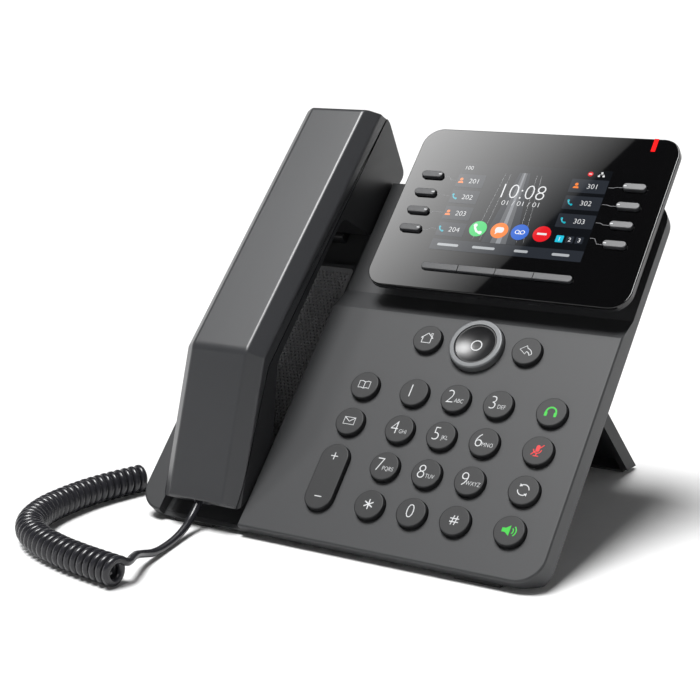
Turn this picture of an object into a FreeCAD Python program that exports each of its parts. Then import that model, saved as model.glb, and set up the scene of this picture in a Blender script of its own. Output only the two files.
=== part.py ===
"""Desk telephone with a handset, a curly cord, a tilting display and a folding stand.

Sizes are in millimetres. Every piece of the case is drawn in the deck's own
frame and then stood up: X runs to the right, V up the slope of the deck and W
out of the deck. X = 0 is the middle of the case, V = 0 its front edge and
W = 0 the deck's surface. The finished object has +Z up, its front towards -Y
and its origin on the desk under the middle of its outline.
"""
import FreeCAD
import Part

import math
import os

Vec = FreeCAD.Vector

# ---------------------------------------------------------------- driving sizes
DECK_TILT = 46.6            # slope of the deck, degrees from the desk
BODY_WIDTH = 196.0
BODY_LENGTH = 189.0         # along the slope
BODY_CORNER = 12.0
BODY_DEPTH = 12.0           # slab thickness at its rim
PARTING_W = -6.0            # where the deck shell meets the back cover
WALL = 2.0
DECK_PLATE = 2.2
EDGE_ROUND = 1.0
REAR_EDGE_ROUND = 1.5
FRONT_FACE = 5.6            # height of the front face before it cuts under
FOOT_HEIGHT = 1.6           # air under the case, taken up by the feet

FIT = 0.15                  # gap between still pieces that sit together
SLIDE_FIT = 0.35            # gap between a key and its hole
RUNNING_FIT = 0.05          # radial gap of a hinge pin
STOP_GAP = 0.3              # gap between a moving piece and its stop

# bulge of the back cover, which holds the electronics
BULGE_SIDE = 8.4            # inset from the side edges
BULGE_FRONT = 9.0
BULGE_TOP = 2.0
BULGE_DEPTH = 8.0
BULGE_CORNER = 6.0

# cradle channel for the handset
LEFT_STRIP = 12.7
CHANNEL_WIDTH = 42.4
CHANNEL_DEPTH = 7.6
CHANNEL_LIP_DEPTH = 4.4
CHANNEL_LIP_LENGTH = 16.0
CHANNEL_ROUND = 2.5
CHANNEL_FLOOR = 1.8
EAR_RECESS_DEPTH = 12.0
EAR_RECESS_START = 142.0
GRILLE_START = 44.0
GRILLE_END = 140.0
GRILLE_THICK = 1.0
GRILLE_LEDGE = 4.0

# pocket under the display
POCKET_START = 114.8
POCKET_RAMP = 11.6
POCKET_DEPTH = 4.8
KEYPAD_CLEAR = 3.2          # room under the pocket's ramp for the keypad's edge

# keys of the dial and around it
KEY_PITCH_X = 20.0
KEY_PITCH_V = 18.3
KEY_DIAMETER = 13.3
KEY_RISE = 2.4
KEY_TRAVEL = 0.8
KEY_ROUND = 0.5
FLANGE_LIP = 1.3            # how far a key's flange or lips reach past its cap
FLANGE_THICK = 1.0
LIP_HALF = 3.5              # half length of the lips on the keys that rock
DIAL_RIGHT = 42.5           # right dial column, from the right edge
DIAL_FRONT = 20.0           # front dial row, from the front edge
SIDE_KEYS_RIGHT = 18.2      # right key column, from the right edge
SIDE_KEYS_LEFT = 107.1      # left key column, from the right edge
NAV_V = 102.0
NAV_RING_DIAMETER = 24.6
OK_DIAMETER = 18.9
NAV_SIDE_KEYS = 23.85       # home and back keys, from the navigation ring's centre

# display head
DISPLAY_WIDTH = 126.6
DISPLAY_HEIGHT = 89.4
DISPLAY_CORNER = 9.3
DISPLAY_RIGHT = -1.7        # plate's right edge, inside the case's right edge
DISPLAY_V = 122.9           # plate's lower edge
DISPLAY_FRONT = 9.34        # plate's face above the deck
GLASS_THICK = 1.5
RIM_THICK = 1.5
HOUSING_LEFT_INSET = 4.0
HOUSING_RIGHT_INSET = 5.7
HOUSING_BOTTOM_W = -2.0
HOUSING_LOWER_V = 140.0
HOUSING_UPPER_INSET = 8.0
SHALLOW_BOTTOM_W = 4.0
SHALLOW_LOWER_V = 128.5
SCREEN_LEFT_GAP = 3.6       # between the screen and the flanges of the line keys
SCREEN_RIGHT_GAP = 3.2
SCREEN_HEIGHT = 51.4
SCREEN_THICK = 2.6
SCREEN_V = 168.7
LINE_KEY_LENGTH = 10.8
LINE_KEY_WIDTH = 3.5
LINE_KEY_RISE = 1.6
LINE_KEY_PITCH = 10.16
LINE_KEY_TOP_V = 184.7
LINE_KEYS_LEFT = 12.9       # left column, from the plate's left edge
LINE_KEYS_RIGHT = 14.7      # right column, from the plate's right edge
SOFT_KEY_V = 134.7
SOFT_BAR_INSET = 3.45       # how much shorter than the screen the bar is at each end
SOFT_BAR_WIDTH = 3.4
SOFT_KEY_RISE = 1.2
SOFT_KEY_GAP = 0.35
LINE_FLANGE_LIP = 1.0
LINE_FLANGE_THICK = 0.8
LINE_KEY_TRAVEL = 0.6
LED_WIDTH = 1.9
LED_LENGTH = 7.0
LED_RIGHT = 11.1            # from the case's right edge

# display hinge
TILT_V = 133.0
TILT_W = -0.5
TILT_PIN_RADIUS = 2.0
TILT_KNUCKLE_RADIUS = 4.0
TILT_KNUCKLE_HALF = 12.0
TILT_LUG_THICK = 5.6
TILT_WEB_HALF = 2.5

# folding stand
STAND_V = 121.0
STAND_AXIS_DROP = 5.6       # hinge axis, behind the bulge
STAND_ANGLE = 42.4          # slope of the opened stand, below horizontal
STAND_WIDTH = 131.0
STAND_PLATE = 2.4
STAND_RIM = 3.6
STAND_RIM_HEIGHT = 5.0
STAND_BARREL_RADIUS = 4.6
STAND_TRUNNION_RADIUS = 3.0
STAND_TRUNNION_LENGTH = 5.6
STAND_EAR_X = 57.5          # inner faces of the ears
STAND_EAR_THICK = 5.6
STAND_EAR_RADIUS = 5.4
STAND_CORNER = 4.0
STAND_FOOT_LENGTH = 22.0
STAND_FOOT_HEIGHT = 1.6
STAND_FOOT_DEPTH = 8.0

# connector bay on the back, in upright coordinates from the deck's front edge
BAY_END_ROOM = 8.0          # bay past the middle of the handset socket
BAY_FLOOR_Z = 92.0
BAY_BACK_Y = 142.0
BAY_HEIGHT = 20.0
SOCKET_Y = 128.5
HANDSET_SOCKET_OFFSET = 11.9    # handset socket, left of the channel's middle
HEADSET_SOCKET_RIGHT = 22.0     # headset socket, from the case's right edge

# handset
HANDSET_SIDE_GAP = 0.6      # air beside the handset in its channel
HANDSET_CHAMFER_WIDTH = 6.4
HANDSET_CHAMFER = 5.6       # how far the side chamfers drop
HANDSET_WALL = 2.2
RECEIVER_SIDE_GAP = 4.4     # between the earpiece receiver and the shell's sides
HANDSET_PARTING = 11.5      # parting face, below the outer face
HANDSET_END_ROUND = 6.0
HANDSET_EDGE_ROUND = 2.0
CREASE = (65.2, 36.6)
HANDSET_PROFILE = (         # V, W and rounding of each corner of the side view
    (4.5, 6.8, 2.0),
    (CREASE[0], CREASE[1], 10.0),
    (204.5, 31.7, 3.5),
    (208.6, 18.0, 9.0),
    (199.5, -11.4, 4.0),
    (158.6, -6.4, 3.0),
    (149.5, 20.4, 6.0),
    (70.0, 21.0, 14.0),
    (37.0, -3.6, 9.0),
    (21.0, -3.9, 7.0),
    (6.0, 2.6, 1.5),
)
HOOK_LENGTH = 9.0
HOOK_WIDTH = 8.0
HOOK_START = 157.5
HOOK_TOP_W = -8.0
PLUG_WIDTH = 7.5
PLUG_HEIGHT = 6.2
PLUG_LENGTH = 11.0
PLUG_W = 3.5                # height of the handset plug above the deck
PLUG_TAIL_V = 6.5
TAIL_GAP = 0.05             # between a plug and the cord that leaves it
JACK_WALL = 1.2

# cord
CORD_RADIUS = 1.7
COIL_RADIUS = 6.6
FRONT_LEAD = (              # points after the handset plug, from the origin on the desk
    (-64.95, -95.87, 6.73),
    (-63.6, -106.0, 3.3),
    (-60.0, -118.5, 2.3),
    (-57.2, -130.0, 2.2),
    (-55.6, -141.0, 3.4),
    (-54.0, -151.5, 7.0),
    (-51.4, -161.0, 10.4),
)
COIL_AXIS = (
    (-49.6, -165.2, 6.6),
    (-66.0, -162.9, 6.6),
    (-85.0, -158.9, 6.6),
    (-103.0, -152.4, 6.6),
    (-117.8, -142.0, 6.6),
    (-126.0, -124.5, 6.6),
    (-127.6, -105.0, 6.6),
    (-126.4, -84.0, 6.6),
    (-119.6, -61.5, 6.6),
)
REAR_LEAD = (
    (-115.0, -48.0, 4.2),
    (-107.0, -33.0, 1.9),
    (-96.0, -18.0, 1.8),
    (-86.0, -3.5, 1.9),
    (-79.6, 12.5, 4.6),
    (-77.4, 26.0, 14.5),
    (-76.9, 33.0, 32.0),
    (-76.85, 36.237, 56.0),
)


# ---------------------------------------------------------------- derived sizes
RIGHT = BODY_WIDTH / 2
LEFT = -BODY_WIDTH / 2
CHANNEL_LEFT = LEFT + LEFT_STRIP
CHANNEL_RIGHT = CHANNEL_LEFT + CHANNEL_WIDTH
CHANNEL_X = (CHANNEL_LEFT + CHANNEL_RIGHT) / 2
HANDSET_HALF_WIDTH = CHANNEL_WIDTH / 2 - HANDSET_SIDE_GAP
HANDSET_FACET_HALF = HANDSET_HALF_WIDTH - HANDSET_CHAMFER_WIDTH
RECEIVER_DIAMETER = 2 * (HANDSET_HALF_WIDTH - HANDSET_WALL - RECEIVER_SIDE_GAP)
BACK_W = -BODY_DEPTH
BULGE_W = BACK_W - BULGE_DEPTH
DIAL_X = tuple(RIGHT - DIAL_RIGHT - KEY_PITCH_X * (2 - column) for column in range(3))
NAV_X = DIAL_X[1]
DISPLAY_X = RIGHT - DISPLAY_RIGHT - DISPLAY_WIDTH / 2
DISPLAY_MID_V = DISPLAY_V + DISPLAY_HEIGHT / 2
DISPLAY_TOP_V = DISPLAY_V + DISPLAY_HEIGHT
GLASS_BACK = DISPLAY_FRONT - GLASS_THICK
LINE_KEY_LEFT_X = DISPLAY_X - DISPLAY_WIDTH / 2 + LINE_KEYS_LEFT
LINE_KEY_RIGHT_X = DISPLAY_X + DISPLAY_WIDTH / 2 - LINE_KEYS_RIGHT
LINE_KEY_REACH = LINE_KEY_LENGTH / 2 + LINE_FLANGE_LIP
SCREEN_LEFT = LINE_KEY_LEFT_X + LINE_KEY_REACH + SCREEN_LEFT_GAP
SCREEN_RIGHT = LINE_KEY_RIGHT_X - LINE_KEY_REACH - SCREEN_RIGHT_GAP
SCREEN_CENTRE = (SCREEN_LEFT + SCREEN_RIGHT) / 2
SOFT_BAR_LENGTH = SCREEN_RIGHT - SCREEN_LEFT - 2 * SOFT_BAR_INSET
TILT = math.radians(DECK_TILT)
STAND_SLOPE = math.radians(STAND_ANGLE)
STAND_AXIS_W = BULGE_W - STAND_AXIS_DROP
KEY_FLANGE_TOP = -DECK_PLATE - STOP_GAP
KEY_FLANGE_BOTTOM = KEY_FLANGE_TOP - FLANGE_THICK
DOME_TOP = KEY_FLANGE_BOTTOM - KEY_TRAVEL - STOP_GAP
MEMBRANE_TOP = DOME_TOP - 0.7
MEMBRANE_BOTTOM = MEMBRANE_TOP - 0.8
BOARD_BOTTOM = MEMBRANE_BOTTOM - 1.6
POCKET_END = POCKET_START + POCKET_RAMP
KEYPAD_FRONT = DIAL_FRONT - 12.0
KEYPAD_BACK = POCKET_START + 1.0


# ---------------------------------------------------------------- shape helpers
def box(x0, x1, v0, v1, w0, w1):
    """Block between two corners."""
    return Part.makeBox(x1 - x0, v1 - v0, w1 - w0, Vec(x0, v0, w0))


def disc(x, v, diameter, w0, w1):
    """Round slab whose axis stands on the deck."""
    return Part.makeCylinder(diameter / 2, w1 - w0, Vec(x, v, w0))


def rod(x0, x1, v, w, radius):
    """Round bar along X."""
    return Part.makeCylinder(radius, x1 - x0, Vec(x0, v, w), Vec(1, 0, 0))


def round_edges(shape, radius, picked):
    """Fillet the edges for which picked(edge) is true."""
    return shape.makeFillet(radius, [edge for edge in shape.Edges if picked(edge)])


def runs_along(edge, direction):
    """True for a straight edge along a unit direction."""
    if not isinstance(edge.Curve, Part.Line):
        return False
    return abs(edge.Curve.Direction.dot(direction)) > 0.999


def upright(edge):
    return runs_along(edge, Vec(0, 0, 1))


def at_level(w):
    """Test for edges that lie at one height above the deck."""
    return lambda edge: abs(edge.BoundBox.ZMin - w) < 1e-6 and abs(edge.BoundBox.ZMax - w) < 1e-6


def pad(x, v, width, height, corner, w0, w1):
    """Rounded rectangle slab about its centre."""
    block = box(x - width / 2, x + width / 2, v - height / 2, v + height / 2, w0, w1)
    limit = min(width, height) / 2 - 0.01
    return round_edges(block, min(corner, limit), upright)


def stadium(x, v, length, width, w0, w1):
    """Slab with round ends, long along X."""
    half = (length - width) / 2
    middle = box(x - half, x + half, v - width / 2, v + width / 2, w0, w1)
    ends = [disc(x + side * half, v, width, w0, w1) for side in (-1, 1)]
    return middle.fuse(ends).removeSplitter()


def side_prism(points, x0, x1):
    """Prism along X from corner points in V and W."""
    corners = [Vec(x0, v, w) for v, w in points]
    face = Part.Face(Part.makePolygon(corners + corners[:1]))
    return face.extrude(Vec(x1 - x0, 0, 0))


def solids_as_one(shapes):
    """One compound of pieces that stay separate solids."""
    return Part.makeCompound([solid for shape in shapes for solid in shape.Solids])


# ---------------------------------------------------------------- upright frame

def upright_point(v, w):
    """Y and Z of a deck point before the origin moves to the desk."""
    return (v * math.cos(TILT) - w * math.sin(TILT), v * math.sin(TILT) + w * math.cos(TILT))


def turned(shape, angle):
    """Copy of a shape turned about the X axis."""
    return shape.copy().rotate(Vec(0, 0, 0), Vec(1, 0, 0), angle)


def lay_down(shape):
    """Turn a shape drawn upright into the deck's frame."""
    return turned(shape, -DECK_TILT)


CASE_BOTTOM_Z = upright_point(0, -FRONT_FACE)[1]
DESK_Z = CASE_BOTTOM_Z - FOOT_HEIGHT


def above(z):
    """Everything above a level height, in the deck's frame."""
    reach = 600.0
    block = Part.makeBox(2 * reach, 2 * reach, reach, Vec(-reach, -reach, z))
    return lay_down(block)


# ---------------------------------------------------------------- case
def channel_void():
    """Space of the handset's channel, open at the front and the top edge."""
    end = BODY_LENGTH + 5
    profile = (
        (-5, -CHANNEL_LIP_DEPTH), (2, -CHANNEL_LIP_DEPTH),
        (CHANNEL_LIP_LENGTH, -CHANNEL_DEPTH), (EAR_RECESS_START, -CHANNEL_DEPTH),
        (EAR_RECESS_START, -EAR_RECESS_DEPTH), (end, -EAR_RECESS_DEPTH), (end, 10), (-5, 10),
    )
    void = side_prism(profile, CHANNEL_LEFT, CHANNEL_RIGHT)
    floor_edges = [
        edge for edge in void.Edges
        if runs_along(edge, Vec(0, 1, 0)) and edge.BoundBox.ZMax < -CHANNEL_LIP_DEPTH - 0.1
    ]
    return void.makeFillet(CHANNEL_ROUND, floor_edges)


def pocket_void():
    """Space under the display, open to the right and the top edge."""
    end = BODY_LENGTH + 5
    profile = (
        (POCKET_START, 0), (POCKET_END, -POCKET_DEPTH), (end, -POCKET_DEPTH), (end, 10), (POCKET_START, 10),
    )
    return side_prism(profile, CHANNEL_RIGHT - 0.5, RIGHT + 5)


def screw_places():
    return [(side * (RIGHT - 5.0), v) for side in (-1, 1) for v in (28.0, BODY_LENGTH - 26.0)]


def key_places():
    """Name, X, V and diameter of each round key on the deck."""
    places = []
    names = (("key_star", "key_0", "key_hash"), ("key_7", "key_8", "key_9"),
             ("key_4", "key_5", "key_6"), ("key_1", "key_2", "key_3"))
    for row, row_names in enumerate(names):
        for x, name in zip(DIAL_X, row_names):
            places.append((name, x, DIAL_FRONT + row * KEY_PITCH_V))
    right_names = ("key_speaker", "key_redial", "key_mute", "key_headset")
    for row, name in enumerate(right_names):
        places.append((name, RIGHT - SIDE_KEYS_RIGHT, DIAL_FRONT + row * KEY_PITCH_V))
    for row, name in ((2, "key_message"), (3, "key_book")):
        places.append((name, RIGHT - SIDE_KEYS_LEFT, DIAL_FRONT + row * KEY_PITCH_V))
    places.append(("key_home", NAV_X - NAV_SIDE_KEYS, NAV_V))
    places.append(("key_back", NAV_X + NAV_SIDE_KEYS, NAV_V))
    return places


ROCKER_X = RIGHT - SIDE_KEYS_LEFT
ROCKER_V = DIAL_FRONT + KEY_PITCH_V / 2
ROCKER_LENGTH = KEY_PITCH_V + KEY_DIAMETER


def rocker_slab(grow, w0, w1):
    """Round-ended slab along V for the volume key and its hole."""
    slab = stadium(0, 0, ROCKER_LENGTH + 2 * grow, KEY_DIAMETER + 2 * grow, w0, w1)
    slab.rotate(Vec(0, 0, 0), Vec(0, 0, 1), 90)
    slab.translate(Vec(ROCKER_X, ROCKER_V, 0))
    return slab


def hook_hole(grow, w0, w1):
    half = HOOK_WIDTH / 2 + grow
    end = HOOK_START + HOOK_LENGTH + grow
    return box(CHANNEL_X - half, CHANNEL_X + half, HOOK_START - grow, end, w0, w1)


def tilt_lugs():
    """Two ears in the pocket that hold the display's hinge pin."""
    lugs = []
    for side in (-1, 1):
        near = DISPLAY_X + side * (TILT_KNUCKLE_HALF + STOP_GAP)
        far = near + side * TILT_LUG_THICK
        x0, x1 = min(near, far), max(near, far)
        foot = box(x0, x1, TILT_V - TILT_KNUCKLE_RADIUS, TILT_V + TILT_KNUCKLE_RADIUS,
                   -POCKET_DEPTH - 0.5, TILT_W)
        lugs.append(foot.fuse(rod(x0, x1, TILT_V, TILT_W, TILT_KNUCKLE_RADIUS)))
    return lugs


def tilt_bore():
    reach = TILT_KNUCKLE_HALF + TILT_LUG_THICK + 5
    return rod(DISPLAY_X - reach, DISPLAY_X + reach, TILT_V, TILT_W, TILT_PIN_RADIUS + RUNNING_FIT)


def inner_outline(gap, w0, w1):
    """Slab that fills the case inside its walls, less a gap."""
    inset = WALL + gap
    return pad(0, BODY_LENGTH / 2, BODY_WIDTH - 2 * inset, BODY_LENGTH - 2 * inset,
               BODY_CORNER - inset, w0, w1)


def front_deck():
    outer = pad(0, BODY_LENGTH / 2, BODY_WIDTH, BODY_LENGTH, BODY_CORNER, PARTING_W, 0)
    outer = round_edges(outer, EDGE_ROUND, at_level(0))
    shell = outer.cut(inner_outline(0, PARTING_W, -DECK_PLATE))

    tub_left = CHANNEL_LEFT - WALL
    tub_right = CHANNEL_RIGHT + WALL
    inside = WALL + FIT
    top = BODY_LENGTH - inside
    tub = box(tub_left, tub_right, inside, top, -CHANNEL_DEPTH - CHANNEL_FLOOR, -DECK_PLATE)
    ear_tub = box(tub_left, tub_right, EAR_RECESS_START - WALL, BODY_LENGTH,
                  -EAR_RECESS_DEPTH - CHANNEL_FLOOR, -DECK_PLATE).common(bulge_pad(WALL + FIT, -80, 0))
    pocket_floor = box(CHANNEL_RIGHT, RIGHT, POCKET_START + KEYPAD_CLEAR, BODY_LENGTH,
                       -POCKET_DEPTH - WALL, -DECK_PLATE)
    pocket_floor = pocket_floor.common(inner_outline(FIT, -80, 0).fuse(inner_outline(0, PARTING_W, 0)))
    bosses = [disc(x, v, 5.2, -7.4, -DECK_PLATE) for x, v in screw_places()]
    deck = shell.fuse([tub, ear_tub, pocket_floor] + bosses)
    deck = deck.cut([channel_void(), pocket_void()])

    lowest_nose = -3.9
    mouth_rest = box(CHANNEL_X - 11, CHANNEL_X + 11, 20, 36,
                     -CHANNEL_DEPTH - 0.5, lowest_nose - STOP_GAP - 0.1)
    ear_rest = side_prism(((174, -EAR_RECESS_DEPTH - 0.5), (181, -EAR_RECESS_DEPTH - 0.5),
                           (181, -9.7), (174, -8.9)), CHANNEL_X - 9, CHANNEL_X + 9)
    deck = deck.fuse([mouth_rest, ear_rest] + tilt_lugs())

    holes = [disc(x, v, KEY_DIAMETER + 2 * SLIDE_FIT, -DECK_PLATE - 1, 1) for _, x, v in key_places()]
    holes.append(disc(NAV_X, NAV_V, NAV_RING_DIAMETER + 2 * SLIDE_FIT, -DECK_PLATE - 1, 1))
    holes.append(rocker_slab(SLIDE_FIT, -DECK_PLATE - 1, 1))
    holes.append(hook_hole(0.8, -EAR_RECESS_DEPTH - CHANNEL_FLOOR - 1, -EAR_RECESS_DEPTH + 1))
    holes += [disc(x, v, 2.3, -8, -3.5) for x, v in screw_places()]
    holes.append(tilt_bore())

    seat = grille_pad(FIT, -CHANNEL_DEPTH - GRILLE_THICK, -CHANNEL_DEPTH + 1)
    window = grille_pad(-GRILLE_LEDGE, -CHANNEL_DEPTH - CHANNEL_FLOOR - 1, -CHANNEL_DEPTH)
    deck = deck.cut(holes + [seat, window])

    floor_room = above(CASE_BOTTOM_Z + WALL + FIT)
    skin = box(LEFT - 1, RIGHT + 1, -1, BODY_LENGTH + 1, PARTING_W, 1)
    kept = floor_room.fuse(above(CASE_BOTTOM_Z).common(skin))
    return deck.common(kept).removeSplitter()


def grille_pad(grow, w0, w1):
    """Plate outline of the loudspeaker grille in the channel floor."""
    width = CHANNEL_WIDTH - 2 * CHANNEL_ROUND - 1.0 + 2 * grow
    length = GRILLE_END - GRILLE_START + 2 * grow
    return pad(CHANNEL_X, (GRILLE_START + GRILLE_END) / 2, width, length, 2.0, w0, w1)


def bay_prism(shrink):
    """Connector bay as a prism, drawn upright and laid into the deck's frame."""
    back = BAY_BACK_Y - shrink
    floor = BAY_FLOOR_Z + shrink
    roof = BAY_FLOOR_Z + BAY_HEIGHT - shrink
    points = ((100, floor), (back, floor), (back, roof), (back - 4, roof + 6), (120, roof + 6))
    half = HANDSET_SOCKET_OFFSET - CHANNEL_X + BAY_END_ROOM - shrink
    corners = [Vec(-half, y, z) for y, z in points]
    face = Part.Face(Part.makePolygon(corners + corners[:1]))
    return lay_down(face.extrude(Vec(2 * half, 0, 0)))


SOCKETS = (                 # name, X, width, depth along Y, opening width, opening depth
    ("handset", CHANNEL_X - HANDSET_SOCKET_OFFSET, 10.4, 9.0, 7.9, 6.6),
    ("network", -26.0, 15.6, 13.0, 11.9, 8.0),
    ("computer", -6.0, 15.6, 13.0, 11.9, 8.0),
    ("headset", RIGHT - HEADSET_SOCKET_RIGHT, 10.4, 9.0, 7.9, 6.6),
)
SOCKET_DEPTH = 14.5
SOCKET_CAVITY = 12.0
POWER_X = 22.0
POWER_RADIUS = 2.9
POWER_BODY = 9.0


def socket_block(x, width, depth, z0, z1):
    return Part.makeBox(width, depth, z1 - z0, Vec(x - width / 2, SOCKET_Y - depth / 2, z0))


def bulge_pad(shrink, w0, w1):
    width = BODY_WIDTH - 2 * (BULGE_SIDE + shrink)
    length = BODY_LENGTH - BULGE_FRONT - BULGE_TOP - 2 * shrink
    middle = (BULGE_FRONT + BODY_LENGTH - BULGE_TOP) / 2
    return pad(0, middle, width, length, BULGE_CORNER - shrink, w0, w1)


def stand_ears():
    ears = []
    for side in (-1, 1):
        near = side * STAND_EAR_X
        far = side * (STAND_EAR_X + STAND_EAR_THICK)
        x0, x1 = min(near, far), max(near, far)
        foot = box(x0, x1, STAND_V - STAND_EAR_RADIUS, STAND_V + STAND_EAR_RADIUS,
                   STAND_AXIS_W, BULGE_W + 0.5)
        ears.append(foot.fuse(rod(x0, x1, STAND_V, STAND_AXIS_W, STAND_EAR_RADIUS)))
    return ears


def back_cover():
    slab = pad(0, BODY_LENGTH / 2, BODY_WIDTH, BODY_LENGTH, BODY_CORNER, BACK_W, PARTING_W)
    slab = round_edges(slab, REAR_EDGE_ROUND, at_level(BACK_W))
    bulge = round_edges(bulge_pad(0, BULGE_W, BACK_W + 1), REAR_EDGE_ROUND, at_level(BULGE_W))
    solid = slab.fuse([bulge, bay_prism(0)])
    outline = pad(0, BODY_LENGTH / 2, BODY_WIDTH, BODY_LENGTH, BODY_CORNER, -80, PARTING_W)
    solid = solid.common(outline)

    shallow = inner_outline(0, BACK_W + WALL, PARTING_W)
    deep = bulge_pad(WALL, BULGE_W + WALL, PARTING_W)
    bay = bay_prism(WALL).common(bulge_pad(WALL, -80, PARTING_W))
    hollow = shallow.fuse([deep, bay]).common(above(CASE_BOTTOM_Z + WALL))
    cover = solid.cut(hollow).common(above(CASE_BOTTOM_Z))

    posts = [disc(x, v, 5.2, BACK_W + 0.5, -7.6) for x, v in screw_places()]
    cover = cover.fuse(posts + stand_ears())
    cuts = [channel_void()]
    cuts += [disc(x, v, 4.8, BACK_W - 1, -9.2) for x, v in screw_places()]
    cuts += [disc(x, v, 2.6, BACK_W, -7) for x, v in screw_places()]
    bore_radius = STAND_TRUNNION_RADIUS + RUNNING_FIT
    cuts.append(rod(-STAND_EAR_X - 20, STAND_EAR_X + 20, STAND_V, STAND_AXIS_W, bore_radius))
    for _, x, _, _, mouth, mouth_depth in SOCKETS:
        opening = socket_block(x, mouth + 0.6, mouth_depth + 0.6, BAY_FLOOR_Z - 1, BAY_FLOOR_Z + WALL + 1)
        cuts.append(lay_down(opening))
    power_mouth = Part.makeCylinder(POWER_RADIUS + 0.6, WALL + 2, Vec(POWER_X, SOCKET_Y, BAY_FLOOR_Z - 1))
    cuts.append(lay_down(power_mouth))
    return cover.cut(cuts).removeSplitter()


def case_screws():
    screws = []
    for x, v in screw_places():
        head = disc(x, v, 4.4, -10.8, -9.3)
        screws.append(head.fuse(disc(x, v, 2.1, -9.3, -4.0)))
    return solids_as_one(screws)


def front_feet():
    """Two rubber pads under the cut-away front edge."""
    top = CASE_BOTTOM_Z
    feet = []
    for side in (-1, 1):
        middle = side * (RIGHT - 28)
        y0 = upright_point(0, -FRONT_FACE)[0] + 0.6
        block = Part.makeBox(20, 6.0, top - DESK_Z, Vec(middle - 10, y0, DESK_Z))
        feet.append(lay_down(block))
    return solids_as_one(feet)


def speaker_grille():
    return grille_pad(0, -CHANNEL_DEPTH - GRILLE_THICK, -CHANNEL_DEPTH)


def loudspeaker():
    """Round speaker with a magnet, under the channel floor."""
    v = 92.0
    rim_top = -CHANNEL_DEPTH - CHANNEL_FLOOR - FIT
    frame = disc(CHANNEL_X, v, 40, rim_top - 2.5, rim_top)
    cone = Part.makeCone(12, 19, 3.0, Vec(CHANNEL_X, v, rim_top - 5.5))
    magnet = disc(CHANNEL_X, v, 20, BULGE_W + WALL + FIT, rim_top - 5.5)
    return frame.fuse([cone, magnet]).removeSplitter()


def board_span():
    return (CHANNEL_RIGHT + WALL + 2.5, RIGHT - 8.5)


def keypad_membrane():
    """Rubber sheet with a dome under each key."""
    x0, x1 = board_span()
    sheet = box(x0, x1, KEYPAD_FRONT, KEYPAD_BACK, MEMBRANE_BOTTOM, MEMBRANE_TOP)
    domes = [disc(x, v, 7, MEMBRANE_TOP, DOME_TOP) for _, x, v in key_places()]
    domes += [disc(NAV_X + dx, NAV_V + dv, 3, MEMBRANE_TOP, DOME_TOP)
              for dx, dv in ((10.6, 0), (-10.6, 0), (0, 10.6), (0, -10.6), (0, 0))]
    domes += [disc(ROCKER_X, ROCKER_V + dv, 6, MEMBRANE_TOP, DOME_TOP) for dv in (-9, 9)]
    return sheet.fuse(domes).removeSplitter()


def circuit_boards():
    """Keypad board under the membrane and main board behind it."""
    x0, x1 = board_span()
    keypad = box(x0, x1, KEYPAD_FRONT, KEYPAD_BACK, BOARD_BOTTOM, MEMBRANE_BOTTOM)
    main_top = BOARD_BOTTOM - 4.5
    main = box(x0, x1 - 4, 16, 168, main_top - 1.6, main_top)
    chips = [box(x, x + 14, v, v + 14, main_top, main_top + 1.6) for x, v in ((0, 60), (30, 90), (45, 40))]
    posts = [disc(x, v, 5, BULGE_W + WALL, main_top - 1.6) for x in (x0 + 6, x1 - 12) for v in (24, 150)]
    header = box(20, 50, 92, 96, main_top, BOARD_BOTTOM)
    return solids_as_one([keypad.fuse([header, main] + chips + posts).removeSplitter()])


def rear_sockets():
    """Sockets in the bay, mouths down: handset, two network, power and headset."""
    parts = []
    top = BAY_FLOOR_Z + WALL + FIT + SOCKET_DEPTH
    base = BAY_FLOOR_Z + WALL + FIT
    for _, x, width, depth, mouth, mouth_depth in SOCKETS:
        shell = socket_block(x, width, depth, base, top)
        cavity = socket_block(x, mouth, mouth_depth, base - 1, base + SOCKET_CAVITY)
        parts.append(lay_down(shell.cut(cavity)))
    block = socket_block(POWER_X, POWER_BODY, POWER_BODY + 2, base, top)
    hole = Part.makeCylinder(POWER_RADIUS, SOCKET_CAVITY, Vec(POWER_X, SOCKET_Y, base - 1))
    pin = Part.makeCylinder(1.0, SOCKET_CAVITY, Vec(POWER_X, SOCKET_Y, base))
    parts.append(lay_down(block.cut(hole).fuse(pin)))
    return solids_as_one(parts)


# ---------------------------------------------------------------- keys
def round_key(x, v):
    cap = round_edges(disc(x, v, KEY_DIAMETER, KEY_FLANGE_TOP, KEY_RISE), KEY_ROUND, at_level(KEY_RISE))
    flange = disc(x, v, KEY_DIAMETER + 2 * FLANGE_LIP, KEY_FLANGE_BOTTOM, KEY_FLANGE_TOP)
    return cap.fuse(flange).removeSplitter()


def volume_rocker():
    """Volume key with a lip on each side of its middle, so that its ends can rise."""
    cap = round_edges(rocker_slab(0, KEY_FLANGE_BOTTOM, KEY_RISE), KEY_ROUND, at_level(KEY_RISE))
    reach = KEY_DIAMETER / 2 + FLANGE_LIP
    lips = box(ROCKER_X - reach, ROCKER_X + reach, ROCKER_V - LIP_HALF, ROCKER_V + LIP_HALF,
               KEY_FLANGE_BOTTOM, KEY_FLANGE_TOP)
    return cap.fuse(lips).removeSplitter()


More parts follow.
